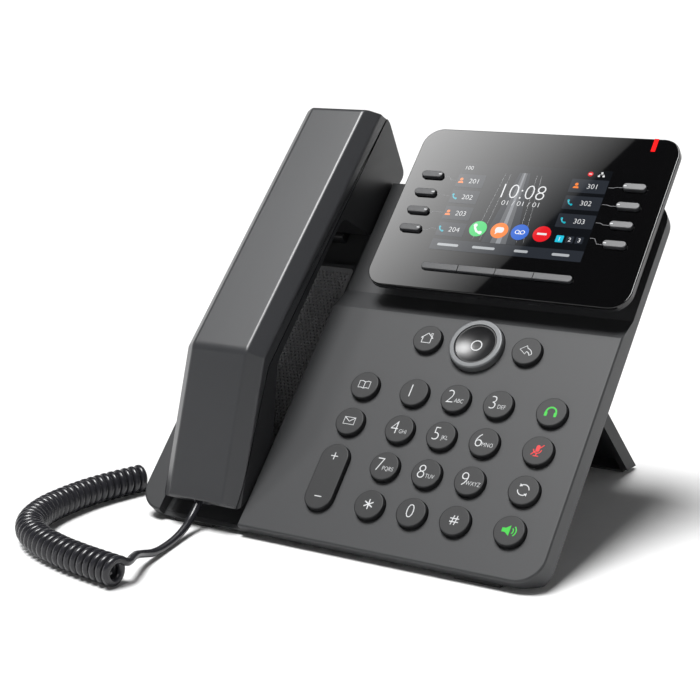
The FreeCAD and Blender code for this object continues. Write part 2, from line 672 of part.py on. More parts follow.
def nav_ring():
    """Raised ring that rocks about the middle."""
    rise = KEY_RISE + 0.8
    cap = round_edges(disc(NAV_X, NAV_V, NAV_RING_DIAMETER, KEY_FLANGE_BOTTOM, rise), 0.8, at_level(rise))
    reach = NAV_RING_DIAMETER / 2 + FLANGE_LIP
    flange = box(NAV_X - reach, NAV_X + reach, NAV_V - LIP_HALF, NAV_V + LIP_HALF,
                 KEY_FLANGE_BOTTOM, KEY_FLANGE_TOP)
    bore = disc(NAV_X, NAV_V, OK_DIAMETER + 2 * SLIDE_FIT, KEY_FLANGE_BOTTOM - 1, rise + 1)
    return cap.fuse(flange).cut(bore).removeSplitter()


def ok_key():
    """Dished centre key inside the ring."""
    rise = KEY_RISE + 0.4
    body = disc(NAV_X, NAV_V, OK_DIAMETER, KEY_FLANGE_BOTTOM, rise)
    rim_radius = OK_DIAMETER / 2 - 0.5
    depth = 1.5
    ball = (rim_radius ** 2 + depth ** 2) / (2 * depth)
    dish = Part.makeSphere(ball, Vec(NAV_X, NAV_V, rise - depth + ball))
    return body.cut(dish).removeSplitter()


def hook_plunger():
    """Switch tab that the handset holds down."""
    foot_w = -EAR_RECESS_DEPTH - CHANNEL_FLOOR - STOP_GAP
    stem = hook_hole(0, foot_w, HOOK_TOP_W)
    stem = round_edges(stem, 1.0, lambda edge: at_level(HOOK_TOP_W)(edge) and runs_along(edge, Vec(1, 0, 0)))
    return stem.fuse(hook_hole(2.0, foot_w - 2.6 - 1.0, foot_w - 2.6)).fuse(
        hook_hole(-0.5, foot_w - 2.6, foot_w)).removeSplitter()


# ---------------------------------------------------------------- display head
def line_key_places():
    places = []
    for side, x in (("left", LINE_KEY_LEFT_X), ("right", LINE_KEY_RIGHT_X)):
        for row in range(4):
            places.append((f"line_key_{side}_{row + 1}", x, LINE_KEY_TOP_V - row * LINE_KEY_PITCH))
    return places


def soft_bar(grow, w0, w1):
    return stadium(SCREEN_CENTRE, SOFT_KEY_V, SOFT_BAR_LENGTH + 2 * grow, SOFT_BAR_WIDTH + 2 * grow, w0, w1)


def led_bar(grow, w0, w1):
    x = RIGHT - LED_RIGHT
    half = LED_WIDTH / 2 + grow
    return box(x - half, x + half, DISPLAY_TOP_V - LED_LENGTH - grow, DISPLAY_TOP_V + grow * 10, w0, w1)


def display_outline(w0, w1):
    return pad(DISPLAY_X, DISPLAY_MID_V, DISPLAY_WIDTH, DISPLAY_HEIGHT, DISPLAY_CORNER, w0, w1)


def display_glass():
    plate = display_outline(GLASS_BACK, DISPLAY_FRONT)
    plate = round_edges(plate, 0.5, at_level(DISPLAY_FRONT))
    cuts = [stadium(x, v, LINE_KEY_LENGTH + 2 * SLIDE_FIT, LINE_KEY_WIDTH + 2 * SLIDE_FIT,
                    GLASS_BACK - 1, DISPLAY_FRONT + 1) for _, x, v in line_key_places()]
    cuts.append(soft_bar(SLIDE_FIT, GLASS_BACK - 1, DISPLAY_FRONT + 1))
    cuts.append(led_bar(0.1, GLASS_BACK - 1, DISPLAY_FRONT + 1))
    return plate.cut(cuts)


def display_housing():
    """Tray behind the glass, with the hinge knuckle under it."""
    rim = display_outline(GLASS_BACK - RIM_THICK, GLASS_BACK)
    x0 = DISPLAY_X - DISPLAY_WIDTH / 2 + HOUSING_LEFT_INSET
    x1 = DISPLAY_X + DISPLAY_WIDTH / 2 - HOUSING_RIGHT_INSET
    v1 = DISPLAY_TOP_V - HOUSING_UPPER_INSET
    middle = ((x0 + x1) / 2, (HOUSING_LOWER_V + v1) / 2)
    width = x1 - x0
    height = v1 - HOUSING_LOWER_V
    deep = pad(*middle, width, height, 5, HOUSING_BOTTOM_W, GLASS_BACK)
    deep = round_edges(deep, 1.5, at_level(HOUSING_BOTTOM_W))
    shallow = box(x0 + 4, x1 - 4, SHALLOW_LOWER_V, HOUSING_LOWER_V + 6, SHALLOW_BOTTOM_W, GLASS_BACK)
    knuckle_start = DISPLAY_X - TILT_KNUCKLE_HALF
    knuckle_end = DISPLAY_X + TILT_KNUCKLE_HALF
    knuckle = rod(knuckle_start, knuckle_end, TILT_V, TILT_W, TILT_KNUCKLE_RADIUS)
    web = box(knuckle_start, knuckle_end, TILT_V - TILT_WEB_HALF, TILT_V + TILT_WEB_HALF,
              TILT_W, SHALLOW_BOTTOM_W + 0.5)
    tray = rim.fuse([deep, shallow, knuckle, web])
    deep_room = pad(*middle, width - 2 * WALL, height - 2 * WALL, 3, HOUSING_BOTTOM_W + WALL, GLASS_BACK + 1)
    shallow_room = box(x0 + 6, x1 - 6, SHALLOW_LOWER_V + 1.5, HOUSING_LOWER_V - 1.0,
                       SHALLOW_BOTTOM_W + 1.1, GLASS_BACK + 1)
    return tray.cut([deep_room, shallow_room, tilt_bore()]).removeSplitter()


def lcd_panel():
    top = GLASS_BACK - 0.05
    return box(SCREEN_LEFT, SCREEN_RIGHT, SCREEN_V - SCREEN_HEIGHT / 2, SCREEN_V + SCREEN_HEIGHT / 2,
               top - SCREEN_THICK, top)


def line_key(x, v):
    top = DISPLAY_FRONT + LINE_KEY_RISE
    flange_top = GLASS_BACK - STOP_GAP
    cap = stadium(x, v, LINE_KEY_LENGTH, LINE_KEY_WIDTH, flange_top, top)
    cap = round_edges(cap, 0.4, at_level(top))
    flange = stadium(x, v, LINE_KEY_LENGTH + 2 * LINE_FLANGE_LIP, LINE_KEY_WIDTH + 2 * LINE_FLANGE_LIP,
                     flange_top - LINE_FLANGE_THICK, flange_top)
    return cap.fuse(flange).removeSplitter()


def soft_keys():
    """Name and shape of each quarter of the bar under the screen."""
    top = DISPLAY_FRONT + SOFT_KEY_RISE
    flange_top = GLASS_BACK - STOP_GAP
    pitch = (SOFT_BAR_LENGTH + SOFT_KEY_GAP) / 4
    start = SCREEN_CENTRE - SOFT_BAR_LENGTH / 2
    bar = round_edges(soft_bar(0, flange_top, top), 0.3, at_level(top))
    flange = soft_bar(LINE_FLANGE_LIP, flange_top - LINE_FLANGE_THICK, flange_top)
    keys = []
    for number in range(4):
        x0 = start + number * pitch - (5 if number == 0 else 0)
        x1 = start + (number + 1) * pitch - SOFT_KEY_GAP + (5 if number == 3 else 0)
        cell = box(x0, x1, SOFT_KEY_V - 10, SOFT_KEY_V + 10, -20, 20)
        keys.append((f"soft_key_{number + 1}", bar.fuse(flange).common(cell).removeSplitter()))
    return keys


def message_led():
    return led_bar(0, GLASS_BACK, DISPLAY_FRONT + 0.05)


def display_hinge_pin():
    reach = TILT_KNUCKLE_HALF + STOP_GAP + TILT_LUG_THICK
    return rod(DISPLAY_X - reach, DISPLAY_X + reach, TILT_V, TILT_W, TILT_PIN_RADIUS)


# ---------------------------------------------------------------- stand
def stand_frame(points_along, x0, x1):
    """Prism whose corners are given along the stand and towards its front."""
    axis_y, axis_z = upright_point(STAND_V, STAND_AXIS_W)
    along = (math.cos(STAND_SLOPE), -math.sin(STAND_SLOPE))
    front = (-math.sin(STAND_SLOPE), -math.cos(STAND_SLOPE))
    corners = []
    for distance, forward in points_along:
        corners.append(Vec(x0, axis_y + distance * along[0] + forward * front[0],
                           axis_z + distance * along[1] + forward * front[1]))
    face = Part.Face(Part.makePolygon(corners + corners[:1]))
    return lay_down(face.extrude(Vec(x1 - x0, 0, 0)))


STAND_BACK = -STAND_PLATE + 0.4
STAND_FRONT = STAND_RIM_HEIGHT + 0.2
STAND_TOP_CLEAR = STAND_BARREL_RADIUS + 2.0


def stand_panel():
    """Tray-shaped leg that swings on two trunnions."""
    reach = 200.0
    half = STAND_WIDTH / 2
    neck = STAND_EAR_X - STOP_GAP
    plate = stand_frame(((STAND_TOP_CLEAR, STAND_BACK), (reach, STAND_BACK), (reach, STAND_FRONT),
                         (STAND_TOP_CLEAR, STAND_FRONT)), -half, half)
    neck_plate = stand_frame(((0, STAND_BACK), (STAND_TOP_CLEAR + 1, STAND_BACK),
                              (STAND_TOP_CLEAR + 1, STAND_FRONT - 1), (0, STAND_FRONT - 1)), -neck, neck)
    end = stand_length()
    tray = stand_frame(((STAND_TOP_CLEAR + 3, STAND_BACK + STAND_PLATE), (end - 9, STAND_BACK + STAND_PLATE),
                        (end - 9, STAND_FRONT + 1), (STAND_TOP_CLEAR + 3, STAND_FRONT + 1)),
                       -half + STAND_RIM, half - STAND_RIM)
    barrel = rod(-neck, neck, STAND_V, STAND_AXIS_W, STAND_BARREL_RADIUS)
    pivots = rod(-STAND_EAR_X - STAND_TRUNNION_LENGTH, STAND_EAR_X + STAND_TRUNNION_LENGTH,
                 STAND_V, STAND_AXIS_W, STAND_TRUNNION_RADIUS)
    leg = plate.cut(tray).fuse([neck_plate, barrel, pivots])
    return leg.common(above(DESK_Z + STAND_FOOT_HEIGHT)).removeSplitter()


def stand_length():
    """Distance from the hinge axis down the stand to the desk."""
    axis_z = upright_point(STAND_V, STAND_AXIS_W)[1]
    return (axis_z - DESK_Z) / math.sin(STAND_SLOPE)


def stand_foot_y():
    """Middle of the stand's level end face."""
    axis_y, axis_z = upright_point(STAND_V, STAND_AXIS_W)
    middle = (STAND_BACK + STAND_FRONT) / 2
    drop = axis_z - DESK_Z - STAND_FOOT_HEIGHT - middle * math.cos(STAND_SLOPE)
    return axis_y + drop / math.tan(STAND_SLOPE) - middle * math.sin(STAND_SLOPE)


def stand_feet():
    feet = []
    y0 = stand_foot_y() - STAND_FOOT_DEPTH / 2
    for side in (-1, 1):
        middle = side * (STAND_WIDTH / 2 - STAND_FOOT_LENGTH / 2 - 3)
        block = Part.makeBox(STAND_FOOT_LENGTH, STAND_FOOT_DEPTH, STAND_FOOT_HEIGHT,
                             Vec(middle - STAND_FOOT_LENGTH / 2, y0, DESK_Z))
        feet.append(lay_down(block))
    return solids_as_one(feet)


# ---------------------------------------------------------------- handset
def corner_rounding(edge, profile):
    """Rounding asked for at the corner that an edge along X stands on."""
    for v, w, radius in profile:
        if abs(edge.BoundBox.YMin - v) < 1e-4 and abs(edge.BoundBox.ZMin - w) < 1e-4:
            return radius
    return 0.0


def side_block(profile, half_width):
    """Handset side view drawn out to its width, with its corners rounded."""
    block = side_prism([(v, w) for v, w, _ in profile], CHANNEL_X - half_width, CHANNEL_X + half_width)
    for radius in sorted({radius for _, _, radius in profile}, reverse=True):
        edges = [edge for edge in block.Edges
                 if runs_along(edge, Vec(1, 0, 0)) and corner_rounding(edge, profile) == radius]
        block = block.makeFillet(radius, edges)
    return block


def chamfer_wedge(start, end, side, inset, facet_half):
    """Half-space past one sloping side of a facet between two profile points."""
    dv, dw = end[0] - start[0], end[1] - start[1]
    length = math.hypot(dv, dw)
    along = Vec(0, dv / length, dw / length)
    outward = Vec(0, -dw / length, dv / length)
    slope = math.atan2(HANDSET_CHAMFER, HANDSET_HALF_WIDTH - HANDSET_FACET_HALF)
    down = Vec(side * math.cos(slope), 0, 0) - outward * math.sin(slope)
    normal = Vec(side * math.sin(slope), 0, 0) + outward * math.cos(slope)
    edge = Vec(CHANNEL_X + side * facet_half, start[0], start[1]) - normal * inset
    reach = 300.0
    corners = [edge + along * a + down * b for a, b in
               ((-reach, -reach), (reach, -reach), (reach, reach), (-reach, reach))]
    face = Part.Face(Part.makePolygon(corners + corners[:1]))
    return face.extrude(normal * 200)


def outer_facets():
    return (HANDSET_PROFILE[0][:2], CREASE), (CREASE, HANDSET_PROFILE[2][:2])


def handset_block(inset):
    """Full handset, or the space inside its wall when inset is set."""
    profile = HANDSET_PROFILE
    half_width = HANDSET_HALF_WIDTH - inset
    if inset:
        wire = Part.makePolygon([Vec(0, v, w) for v, w, _ in profile + profile[:1]])
        small = Part.Face(wire).makeOffset2D(-inset, 2)
        corners = [vertex.Point for vertex in small.OuterWire.OrderedVertexes]
        face = Part.Face(Part.makePolygon(corners + corners[:1]))
        face.translate(Vec(CHANNEL_X - half_width, 0, 0))
        block = face.extrude(Vec(2 * half_width, 0, 0))
    else:
        block = side_block(profile, half_width)
    wedges = [chamfer_wedge(start, end, side, inset, HANDSET_FACET_HALF)
              for start, end in outer_facets() for side in (-1, 1)]
    return block.cut(wedges)


def handset_upper_zone():
    """Region above the parting face of the handset's two shells."""
    below = HANDSET_PARTING
    start, crease, top = HANDSET_PROFILE[0], CREASE, HANDSET_PROFILE[2]
    corners = ((-20, -20 - below + 12), (start[0], start[1] - below + 6.5), (crease[0], crease[1] - below),
               (top[0] + 20, top[1] - below - 0.7), (top[0] + 20, 90), (-20, 90))
    return side_prism(corners, CHANNEL_X - 60, CHANNEL_X + 60)


def jack_space(grow, v0, v1):
    half_width = PLUG_WIDTH / 2 + grow
    half_height = PLUG_HEIGHT / 2 + grow
    return box(CHANNEL_X - half_width, CHANNEL_X + half_width, v0, v1,
               PLUG_W - half_height, PLUG_W + half_height)


def handset_shells():
    """Outer shell and inner shell, split at the parting face."""
    walls = handset_block(0).cut(handset_block(HANDSET_WALL))
    jack_end = PLUG_TAIL_V + PLUG_LENGTH + 2.0
    jack = jack_space(FIT + JACK_WALL, 3.0, jack_end).common(handset_block(0))
    walls = walls.fuse(jack).cut(jack_space(FIT, -10, PLUG_TAIL_V + PLUG_LENGTH + FIT))
    ear_holes = []
    for turn in range(6):
        angle = math.radians(60 * turn)
        ear_holes.append(disc(CHANNEL_X + 6 * math.cos(angle), 177 + 6 * math.sin(angle), 1.8, -20, -2))
    mouth_slot = disc(CHANNEL_X, 29, 2.0, -10, 2)
    walls = walls.cut(ear_holes + [mouth_slot])
    upper = handset_upper_zone()
    return walls.common(upper).removeSplitter(), walls.cut(upper).removeSplitter()


def handset_capsules():
    """Earpiece receiver and microphone, each seated on the inner shell."""
    floor = -6.3 - (177 - 158.6) * 5.0 / 40.9 + HANDSET_WALL + 1.6
    receiver = disc(CHANNEL_X, 177, RECEIVER_DIAMETER, floor, floor + 6)
    receiver = receiver.fuse(disc(CHANNEL_X, 177, RECEIVER_DIAMETER - 10, floor + 6, floor + 9))
    microphone = disc(CHANNEL_X, 29, 9.5, -3.7 + HANDSET_WALL + 0.5, -3.7 + HANDSET_WALL + 5.5)
    return solids_as_one([receiver.removeSplitter(), microphone])


def cord_plug_handset():
    """Small plug with its latch, in the handset's end."""
    return jack_space(0, PLUG_TAIL_V, PLUG_TAIL_V + PLUG_LENGTH)


def cord_plug_base():
    """Same plug in the bay's handset socket, pointing up."""
    top = BAY_FLOOR_Z + WALL + FIT + PLUG_LENGTH - 1.5
    plug = socket_block(SOCKETS[0][1], PLUG_WIDTH, PLUG_HEIGHT, top - PLUG_LENGTH, top)
    return lay_down(plug)


# ---------------------------------------------------------------- cord
def tube_along(points, radius, label):
    """Round bar along straight runs joined by tangent arcs."""
    points = [Vec(*point) for point in points]
    edges = []
    radii = []
    start = points[0]
    for before, corner, after in zip(points, points[1:], points[2:]):
        incoming = (corner - before).normalize()
        outgoing = (after - corner).normalize()
        half_turn = incoming.getAngle(outgoing) / 2
        trim = 0.45 * min(before.distanceToPoint(corner), corner.distanceToPoint(after))
        radii.append(trim / math.tan(half_turn))
        arc_start = corner - incoming * trim
        arc_end = corner + outgoing * trim
        inward = (outgoing - incoming).normalize()
        centre_distance = radii[-1] / math.cos(half_turn)
        arc_middle = corner + inward * (centre_distance - radii[-1])
        edges.append(Part.LineSegment(start, arc_start).toShape())
        edges.append(Part.Arc(arc_start, arc_middle, arc_end).toShape())
        start = arc_end
    edges.append(Part.LineSegment(start, points[-1]).toShape())
    path = Part.Wire(edges)
    direction = (points[1] - points[0]).normalize()
    section = Part.Wire(Part.makeCircle(radius, points[0], direction))
    tube = path.makePipeShell([section], True, True)
    expected = math.pi * radius ** 2 * path.Length
    print(f"{label}: length {path.Length:.1f}, volume ratio {tube.Volume / expected:.4f}, "
          f"radii {', '.join(f'{value:.0f}' for value in radii)}")
    return tube


def to_desk(v, w, x, shift):
    """Deck point in the finished frame."""
    y, z = upright_point(v, w)
    return (x + shift.x, y + shift.y, z + shift.z)


def cord_shapes(shift):
    """The cord's three solids, in the finished frame."""
    front_exit = to_desk(PLUG_TAIL_V - TAIL_GAP, PLUG_W, CHANNEL_X, shift)
    plug_bottom = BAY_FLOOR_Z + WALL + FIT - 1.5
    rear_exit = (SOCKETS[0][1] + shift.x, SOCKET_Y + shift.y, plug_bottom + shift.z - TAIL_GAP)
    return {
        "cord_front_lead": tube_along((front_exit,) + FRONT_LEAD, CORD_RADIUS, "front lead"),
        "cord_coil": tube_along(COIL_AXIS, COIL_RADIUS, "coil"),
        "cord_rear_lead": tube_along((COIL_AXIS[-1],) + REAR_LEAD + (rear_exit,), CORD_RADIUS, "rear lead"),
    }


# ---------------------------------------------------------------- assembly
def build_pieces():
    """Every piece except the cord, in the deck's frame."""
    outer_shell, inner_shell = handset_shells()
    pieces = {
        "front_deck": front_deck(),
        "back_cover": back_cover(),
        "case_screws": case_screws(),
        "front_feet": front_feet(),
        "speaker_grille": speaker_grille(),
        "loudspeaker": loudspeaker(),
        "keypad_membrane": keypad_membrane(),
        "circuit_boards": circuit_boards(),
        "rear_sockets": rear_sockets(),
        "display_hinge_pin": display_hinge_pin(),
        "cord_plug_base": cord_plug_base(),
        "hook_plunger": hook_plunger(),
        "volume_rocker": volume_rocker(),
        "nav_ring": nav_ring(),
        "ok_key": ok_key(),
        "display_glass": display_glass(),
        "display_housing": display_housing(),
        "lcd_panel": lcd_panel(),
        "message_led": message_led(),
        "stand_panel": stand_panel(),
        "stand_feet": stand_feet(),
        "handset_outer_shell": outer_shell,
        "handset_inner_shell": inner_shell,
        "handset_capsules": handset_capsules(),
        "cord_plug_handset": cord_plug_handset(),
    }
    for name, x, v in key_places():
        pieces[name] = round_key(x, v)
    for name, x, v in line_key_places():
        pieces[name] = line_key(x, v)
    pieces.update(soft_keys())
    return pieces


def stand_up(pieces):
    """Turn the pieces upright and put the origin under the middle of the outline."""
    standing = {name: turned(shape, DECK_TILT) for name, shape in pieces.items()}
    boxes = [shape.optimalBoundingBox() for name, shape in standing.items() if not name.startswith("cord_")]
    middle_x = (min(b.XMin for b in boxes) + max(b.XMax for b in boxes)) / 2
    middle_y = (min(b.YMin for b in boxes) + max(b.YMax for b in boxes)) / 2
    shift = Vec(-middle_x, -middle_y, -min(b.ZMin for b in boxes))
    for shape in standing.values():
        shape.translate(shift)
    return standing, shift


def main():
    os.makedirs("parts", exist_ok=True)
    standing, shift = stand_up(build_pieces())
    standing.update(cord_shapes(shift))
    print(f"origin moved by {shift.x:.3f}, {shift.y:.3f}, {shift.z:.3f}")
    for name, shape in standing.items():
        shape.exportStep(os.path.join("parts", f"{name}.step"))
        print(f"{name}: {len(shape.Solids)} solid(s), {shape.Volume / 1000:.2f} cm3, valid {shape.isValid()}")
    print(f"{len(standing)} nodes")


main()
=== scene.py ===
"""Desk telephone: studio scene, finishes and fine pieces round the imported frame."""

import logging
import math
from dataclasses import dataclass, field
from enum import Enum

import bmesh
import bpy
from mathutils import Matrix, Vector

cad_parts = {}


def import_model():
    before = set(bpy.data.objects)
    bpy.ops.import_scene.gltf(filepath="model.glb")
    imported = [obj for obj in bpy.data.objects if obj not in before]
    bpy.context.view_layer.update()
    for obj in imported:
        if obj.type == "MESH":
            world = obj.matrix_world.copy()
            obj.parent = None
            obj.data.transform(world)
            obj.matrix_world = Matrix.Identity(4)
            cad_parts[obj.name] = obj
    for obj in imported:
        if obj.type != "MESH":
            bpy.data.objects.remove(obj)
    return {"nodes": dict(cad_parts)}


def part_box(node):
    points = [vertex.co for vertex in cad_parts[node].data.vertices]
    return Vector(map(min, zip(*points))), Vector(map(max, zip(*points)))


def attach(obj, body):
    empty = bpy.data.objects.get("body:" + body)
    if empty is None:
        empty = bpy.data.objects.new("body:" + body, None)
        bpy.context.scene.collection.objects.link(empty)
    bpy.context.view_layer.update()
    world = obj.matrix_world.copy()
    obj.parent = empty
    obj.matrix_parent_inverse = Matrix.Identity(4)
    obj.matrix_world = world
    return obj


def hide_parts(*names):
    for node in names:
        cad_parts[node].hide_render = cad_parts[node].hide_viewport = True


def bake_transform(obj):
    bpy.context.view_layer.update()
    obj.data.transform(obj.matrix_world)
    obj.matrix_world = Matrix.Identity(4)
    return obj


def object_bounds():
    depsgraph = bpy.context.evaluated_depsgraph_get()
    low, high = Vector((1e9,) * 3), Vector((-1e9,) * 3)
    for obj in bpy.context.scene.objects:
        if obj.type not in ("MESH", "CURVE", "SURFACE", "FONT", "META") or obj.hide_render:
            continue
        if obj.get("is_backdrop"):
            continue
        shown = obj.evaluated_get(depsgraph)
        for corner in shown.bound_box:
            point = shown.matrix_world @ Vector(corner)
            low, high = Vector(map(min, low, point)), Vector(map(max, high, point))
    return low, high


Point2 = tuple[float, float]
Point3 = tuple[float, float, float]

LOG = logging.getLogger("desk_phone")
MM = 0.001
DECK_TILT = math.radians(46.6)
SCREEN_MIDDLE: Point2 = (35.7, 168.7)   # of the lit screen on the deck, in deck mm
PANEL_LEVEL = 6.49                      # of the screen panel's middle above the deck
GLASS_LEVEL = 9.34                      # of the display's glass above the deck


class Texture(Enum):
    """How the surface of a finish is broken up."""

    SMOOTH = "smooth"
    FINE_GRAIN = "fine_grain"
    SATIN = "satin"


GRAIN_SCALE = {Texture.SMOOTH: 40.0, Texture.FINE_GRAIN: 2600.0, Texture.SATIN: 900.0}
GRAIN_DETAIL = 3.0
COLOUR_SPREAD = {Texture.SMOOTH: 0.015, Texture.FINE_GRAIN: 0.05, Texture.SATIN: 0.03}
SPREAD_FROM, SPREAD_TO = 0.3, 0.7       # the noise values between which the colour turns
BUMP_STRENGTH = {Texture.FINE_GRAIN: 0.25, Texture.SATIN: 0.1}
BUMP_DEPTH = 0.05 * MM
COAT_ROUGHNESS = 0.06
UNLIT = 0.04                            # how much of its colour a lit print reflects


@dataclass(frozen=True)
class Finish:
    """One procedural finish: a plastic, rubber, metal, glass or lit print."""

    name: str
    colour: Point3
    roughness: float = 0.5
    texture: Texture = Texture.FINE_GRAIN
    metallic: float = 0.0
    coat: float = 0.0
    glow: float = 0.0
    specular: float = 0.5

    def material(self) -> bpy.types.Material:
        """Builds the node material, unless it is built already.

        Returns:
            The material.
        """
        if self.name in bpy.data.materials:
            return bpy.data.materials[self.name]
        material = bpy.data.materials.new(self.name)
        material.use_nodes = True
        nodes = material.node_tree.nodes
        links = material.node_tree.links
        shader = nodes["Principled BSDF"]
        shader.inputs["Metallic"].default_value = self.metallic
        shader.inputs["Specular IOR Level"].default_value = self.specular
        shader.inputs["Coat Weight"].default_value = self.coat
        shader.inputs["Coat Roughness"].default_value = COAT_ROUGHNESS
        shader.inputs["Roughness"].default_value = self.roughness
        place = nodes.new("ShaderNodeTexCoord")
        noise = nodes.new("ShaderNodeTexNoise")
        noise.inputs["Scale"].default_value = GRAIN_SCALE[self.texture]
        noise.inputs["Detail"].default_value = GRAIN_DETAIL
        links.new(place.outputs["Object"], noise.inputs["Vector"])
        ramp = nodes.new("ShaderNodeValToRGB")
        low, high = ramp.color_ramp.elements
        spread = COLOUR_SPREAD[self.texture]
        low.position, high.position = SPREAD_FROM, SPREAD_TO
        low.color = (*(c * (1 - spread) for c in self.colour), 1)
        high.color = (*(min(1.0, c * (1 + spread)) for c in self.colour), 1)
        links.new(noise.outputs["Fac"], ramp.inputs["Fac"])
        if self.glow:
            dimmed = (*(c * UNLIT for c in self.colour), 1)
            shader.inputs["Base Color"].default_value = dimmed
            links.new(ramp.outputs["Color"], shader.inputs["Emission Color"])
            shader.inputs["Emission Strength"].default_value = self.glow
        else:
            links.new(ramp.outputs["Color"], shader.inputs["Base Color"])
        if self.texture is not Texture.SMOOTH:
            bump = nodes.new("ShaderNodeBump")
            bump.inputs["Strength"].default_value = BUMP_STRENGTH[self.texture]
            bump.inputs["Distance"].default_value = BUMP_DEPTH
            links.new(noise.outputs["Fac"], bump.inputs["Height"])
            links.new(bump.outputs["Normal"], shader.inputs["Normal"])
        return material


DECK = Finish("deck_charcoal", (0.034, 0.035, 0.037), 0.5, specular=0.42)
COVER = Finish("cover_charcoal", (0.028, 0.029, 0.031), 0.5)
STAND = Finish("stand_charcoal", (0.012, 0.0125, 0.014), 0.55, specular=0.3)
HANDSET = Finish("handset_charcoal", (0.034, 0.035, 0.038), 0.34, specular=0.6)
# Painted shade: a darker copy of the handset plastic, standing in for the shade on the inset inner
# shell and on the hook plunger in the cradle.
HANDSET_PAINTED_SHADE = Finish("handset_inner_painted_shade", (0.016, 0.0165, 0.018), 0.4)
KEY = Finish("key_charcoal", (0.011, 0.0115, 0.0125), 0.5, Texture.SATIN, specular=0.4)
MEMBRANE = Finish("membrane_black", (0.010, 0.010, 0.011), 0.7)
# Painted light: the black perforated plate gets a mid-grey colour that stands in for the light the
# shaded handset channel does not get.
GRILLE_PAINTED_LIGHT = Finish("grille_black_painted_light", (0.20, 0.20, 0.205), 0.45, Texture.SATIN)
LOUDSPEAKER = Finish("loudspeaker_black", (0.006, 0.006, 0.007), 0.8)
BOARD = Finish("board_green", (0.010, 0.070, 0.030), 0.45, Texture.SATIN)
SOCKET = Finish("socket_black", (0.016, 0.016, 0.017), 0.45, Texture.SATIN)
PLUG = Finish("plug_smoke", (0.10, 0.10, 0.11), 0.15, Texture.SMOOTH, coat=0.4)
STEEL = Finish("screw_steel", (0.42, 0.42, 0.43), 0.3, Texture.SATIN, metallic=1.0)
RUBBER = Finish("foot_rubber", (0.016, 0.016, 0.016), 0.8)
CORD = Finish("cord_black", (0.005, 0.005, 0.0055), 0.34, Texture.SMOOTH, specular=0.35)
GLASS = Finish("display_gloss_black", (0.0015, 0.0015, 0.0018), 0.02, Texture.SMOOTH)
HOUSING = Finish("housing_black", (0.006, 0.006, 0.007), 0.42)
SOFT_KEY = Finish("bar_key_black", (0.030, 0.031, 0.034), 0.32, Texture.SATIN)
RING = Finish("ring_satin", (0.12, 0.124, 0.128), 0.4, Texture.SATIN, metallic=0.35)
OK_GLOSS = Finish("ok_gloss_black", (0.008, 0.008, 0.009), 0.3, Texture.SMOOTH)
LED = Finish("message_red", (1.0, 0.001, 0.001), 0.5, Texture.SMOOTH, glow=1.3, specular=0.05)
LEGEND = Finish("legend_white", (0.60, 0.61, 0.62), 0.6, Texture.SMOOTH)
GREEN = Finish("legend_green", (0.01, 0.62, 0.02), 0.5, Texture.SMOOTH, glow=1.0)
RED = Finish("legend_red", (0.85, 0.005, 0.008), 0.5, Texture.SMOOTH, glow=1.0)
PRINT = Finish("bezel_print_grey", (0.22, 0.22, 0.23), 0.4, Texture.SMOOTH)
FLOOR = Finish("floor_white", (0.86, 0.86, 0.86), 0.9, Texture.SMOOTH, specular=0.1)


def lit(name: str, colour: Point3) -> Finish:
    """A colour of the lit screen."""
    return Finish(name, colour, 0.03, Texture.SMOOTH, glow=1.0)


SCREEN_DARK = lit("screen_dark", (0.004, 0.005, 0.007))
SCREEN_PANEL = lit("screen_panel", (0.022, 0.026, 0.034))
SCREEN_BEAM = lit("screen_beam", (0.10, 0.105, 0.115))
SCREEN_BEAM_CORE = lit("screen_beam_core", (0.24, 0.25, 0.27))
SCREEN_WHITE = lit("screen_white", (0.80, 0.81, 0.82))
SCREEN_GREY = lit("screen_grey", (0.42, 0.44, 0.46))
SCREEN_GREEN = lit("screen_green", (0.05, 0.62, 0.16))
SCREEN_ORANGE = lit("screen_orange", (0.93, 0.22, 0.02))
SCREEN_BLUE = lit("screen_blue", (0.02, 0.13, 0.62))
SCREEN_RED = lit("screen_red", (0.78, 0.012, 0.02))
SCREEN_TEAL = lit("screen_teal", (0.01, 0.42, 0.52))
SCREEN_CYAN = lit("screen_cyan", (0.02, 0.55, 0.75))
UI = (
    SCREEN_DARK, SCREEN_PANEL, SCREEN_BEAM, SCREEN_BEAM_CORE, SCREEN_WHITE, SCREEN_GREY,
    SCREEN_GREEN, SCREEN_ORANGE, SCREEN_BLUE, SCREEN_RED, SCREEN_TEAL, SCREEN_CYAN,
)


@dataclass(frozen=True)
class DeckFrame:
    """The sloping deck's own axes: X right, Y up the slope, Z out of the deck, in mm."""

    matrix: Matrix

    @classmethod
    def from_screen(cls) -> "DeckFrame":
        """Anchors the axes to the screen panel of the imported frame.

        Returns:
            The deck frame.
        """
        low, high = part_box("lcd_panel")
        turn = Matrix.Rotation(DECK_TILT, 4, "X")
        origin = (low + high) / 2 - turn @ (Vector((*SCREEN_MIDDLE, PANEL_LEVEL)) * MM)
        return cls(Matrix.Translation(origin) @ turn @ Matrix.Scale(MM, 4))

    def seat(self, node: bpy.types.Object) -> Vector:
        """Finds where a cap's face is.

        Args:
            node: A CAD node's object.

        Returns:
            The middle of its box across the deck and its highest level, in deck mm.
        """
        back = self.matrix.inverted()
        points = [back @ v.co for v in node.data.vertices]
        xs = [p.x for p in points]
        ys = [p.y for p in points]
        top = max(p.z for p in points)
        return Vector(((min(xs) + max(xs)) / 2, (min(ys) + max(ys)) / 2, top))


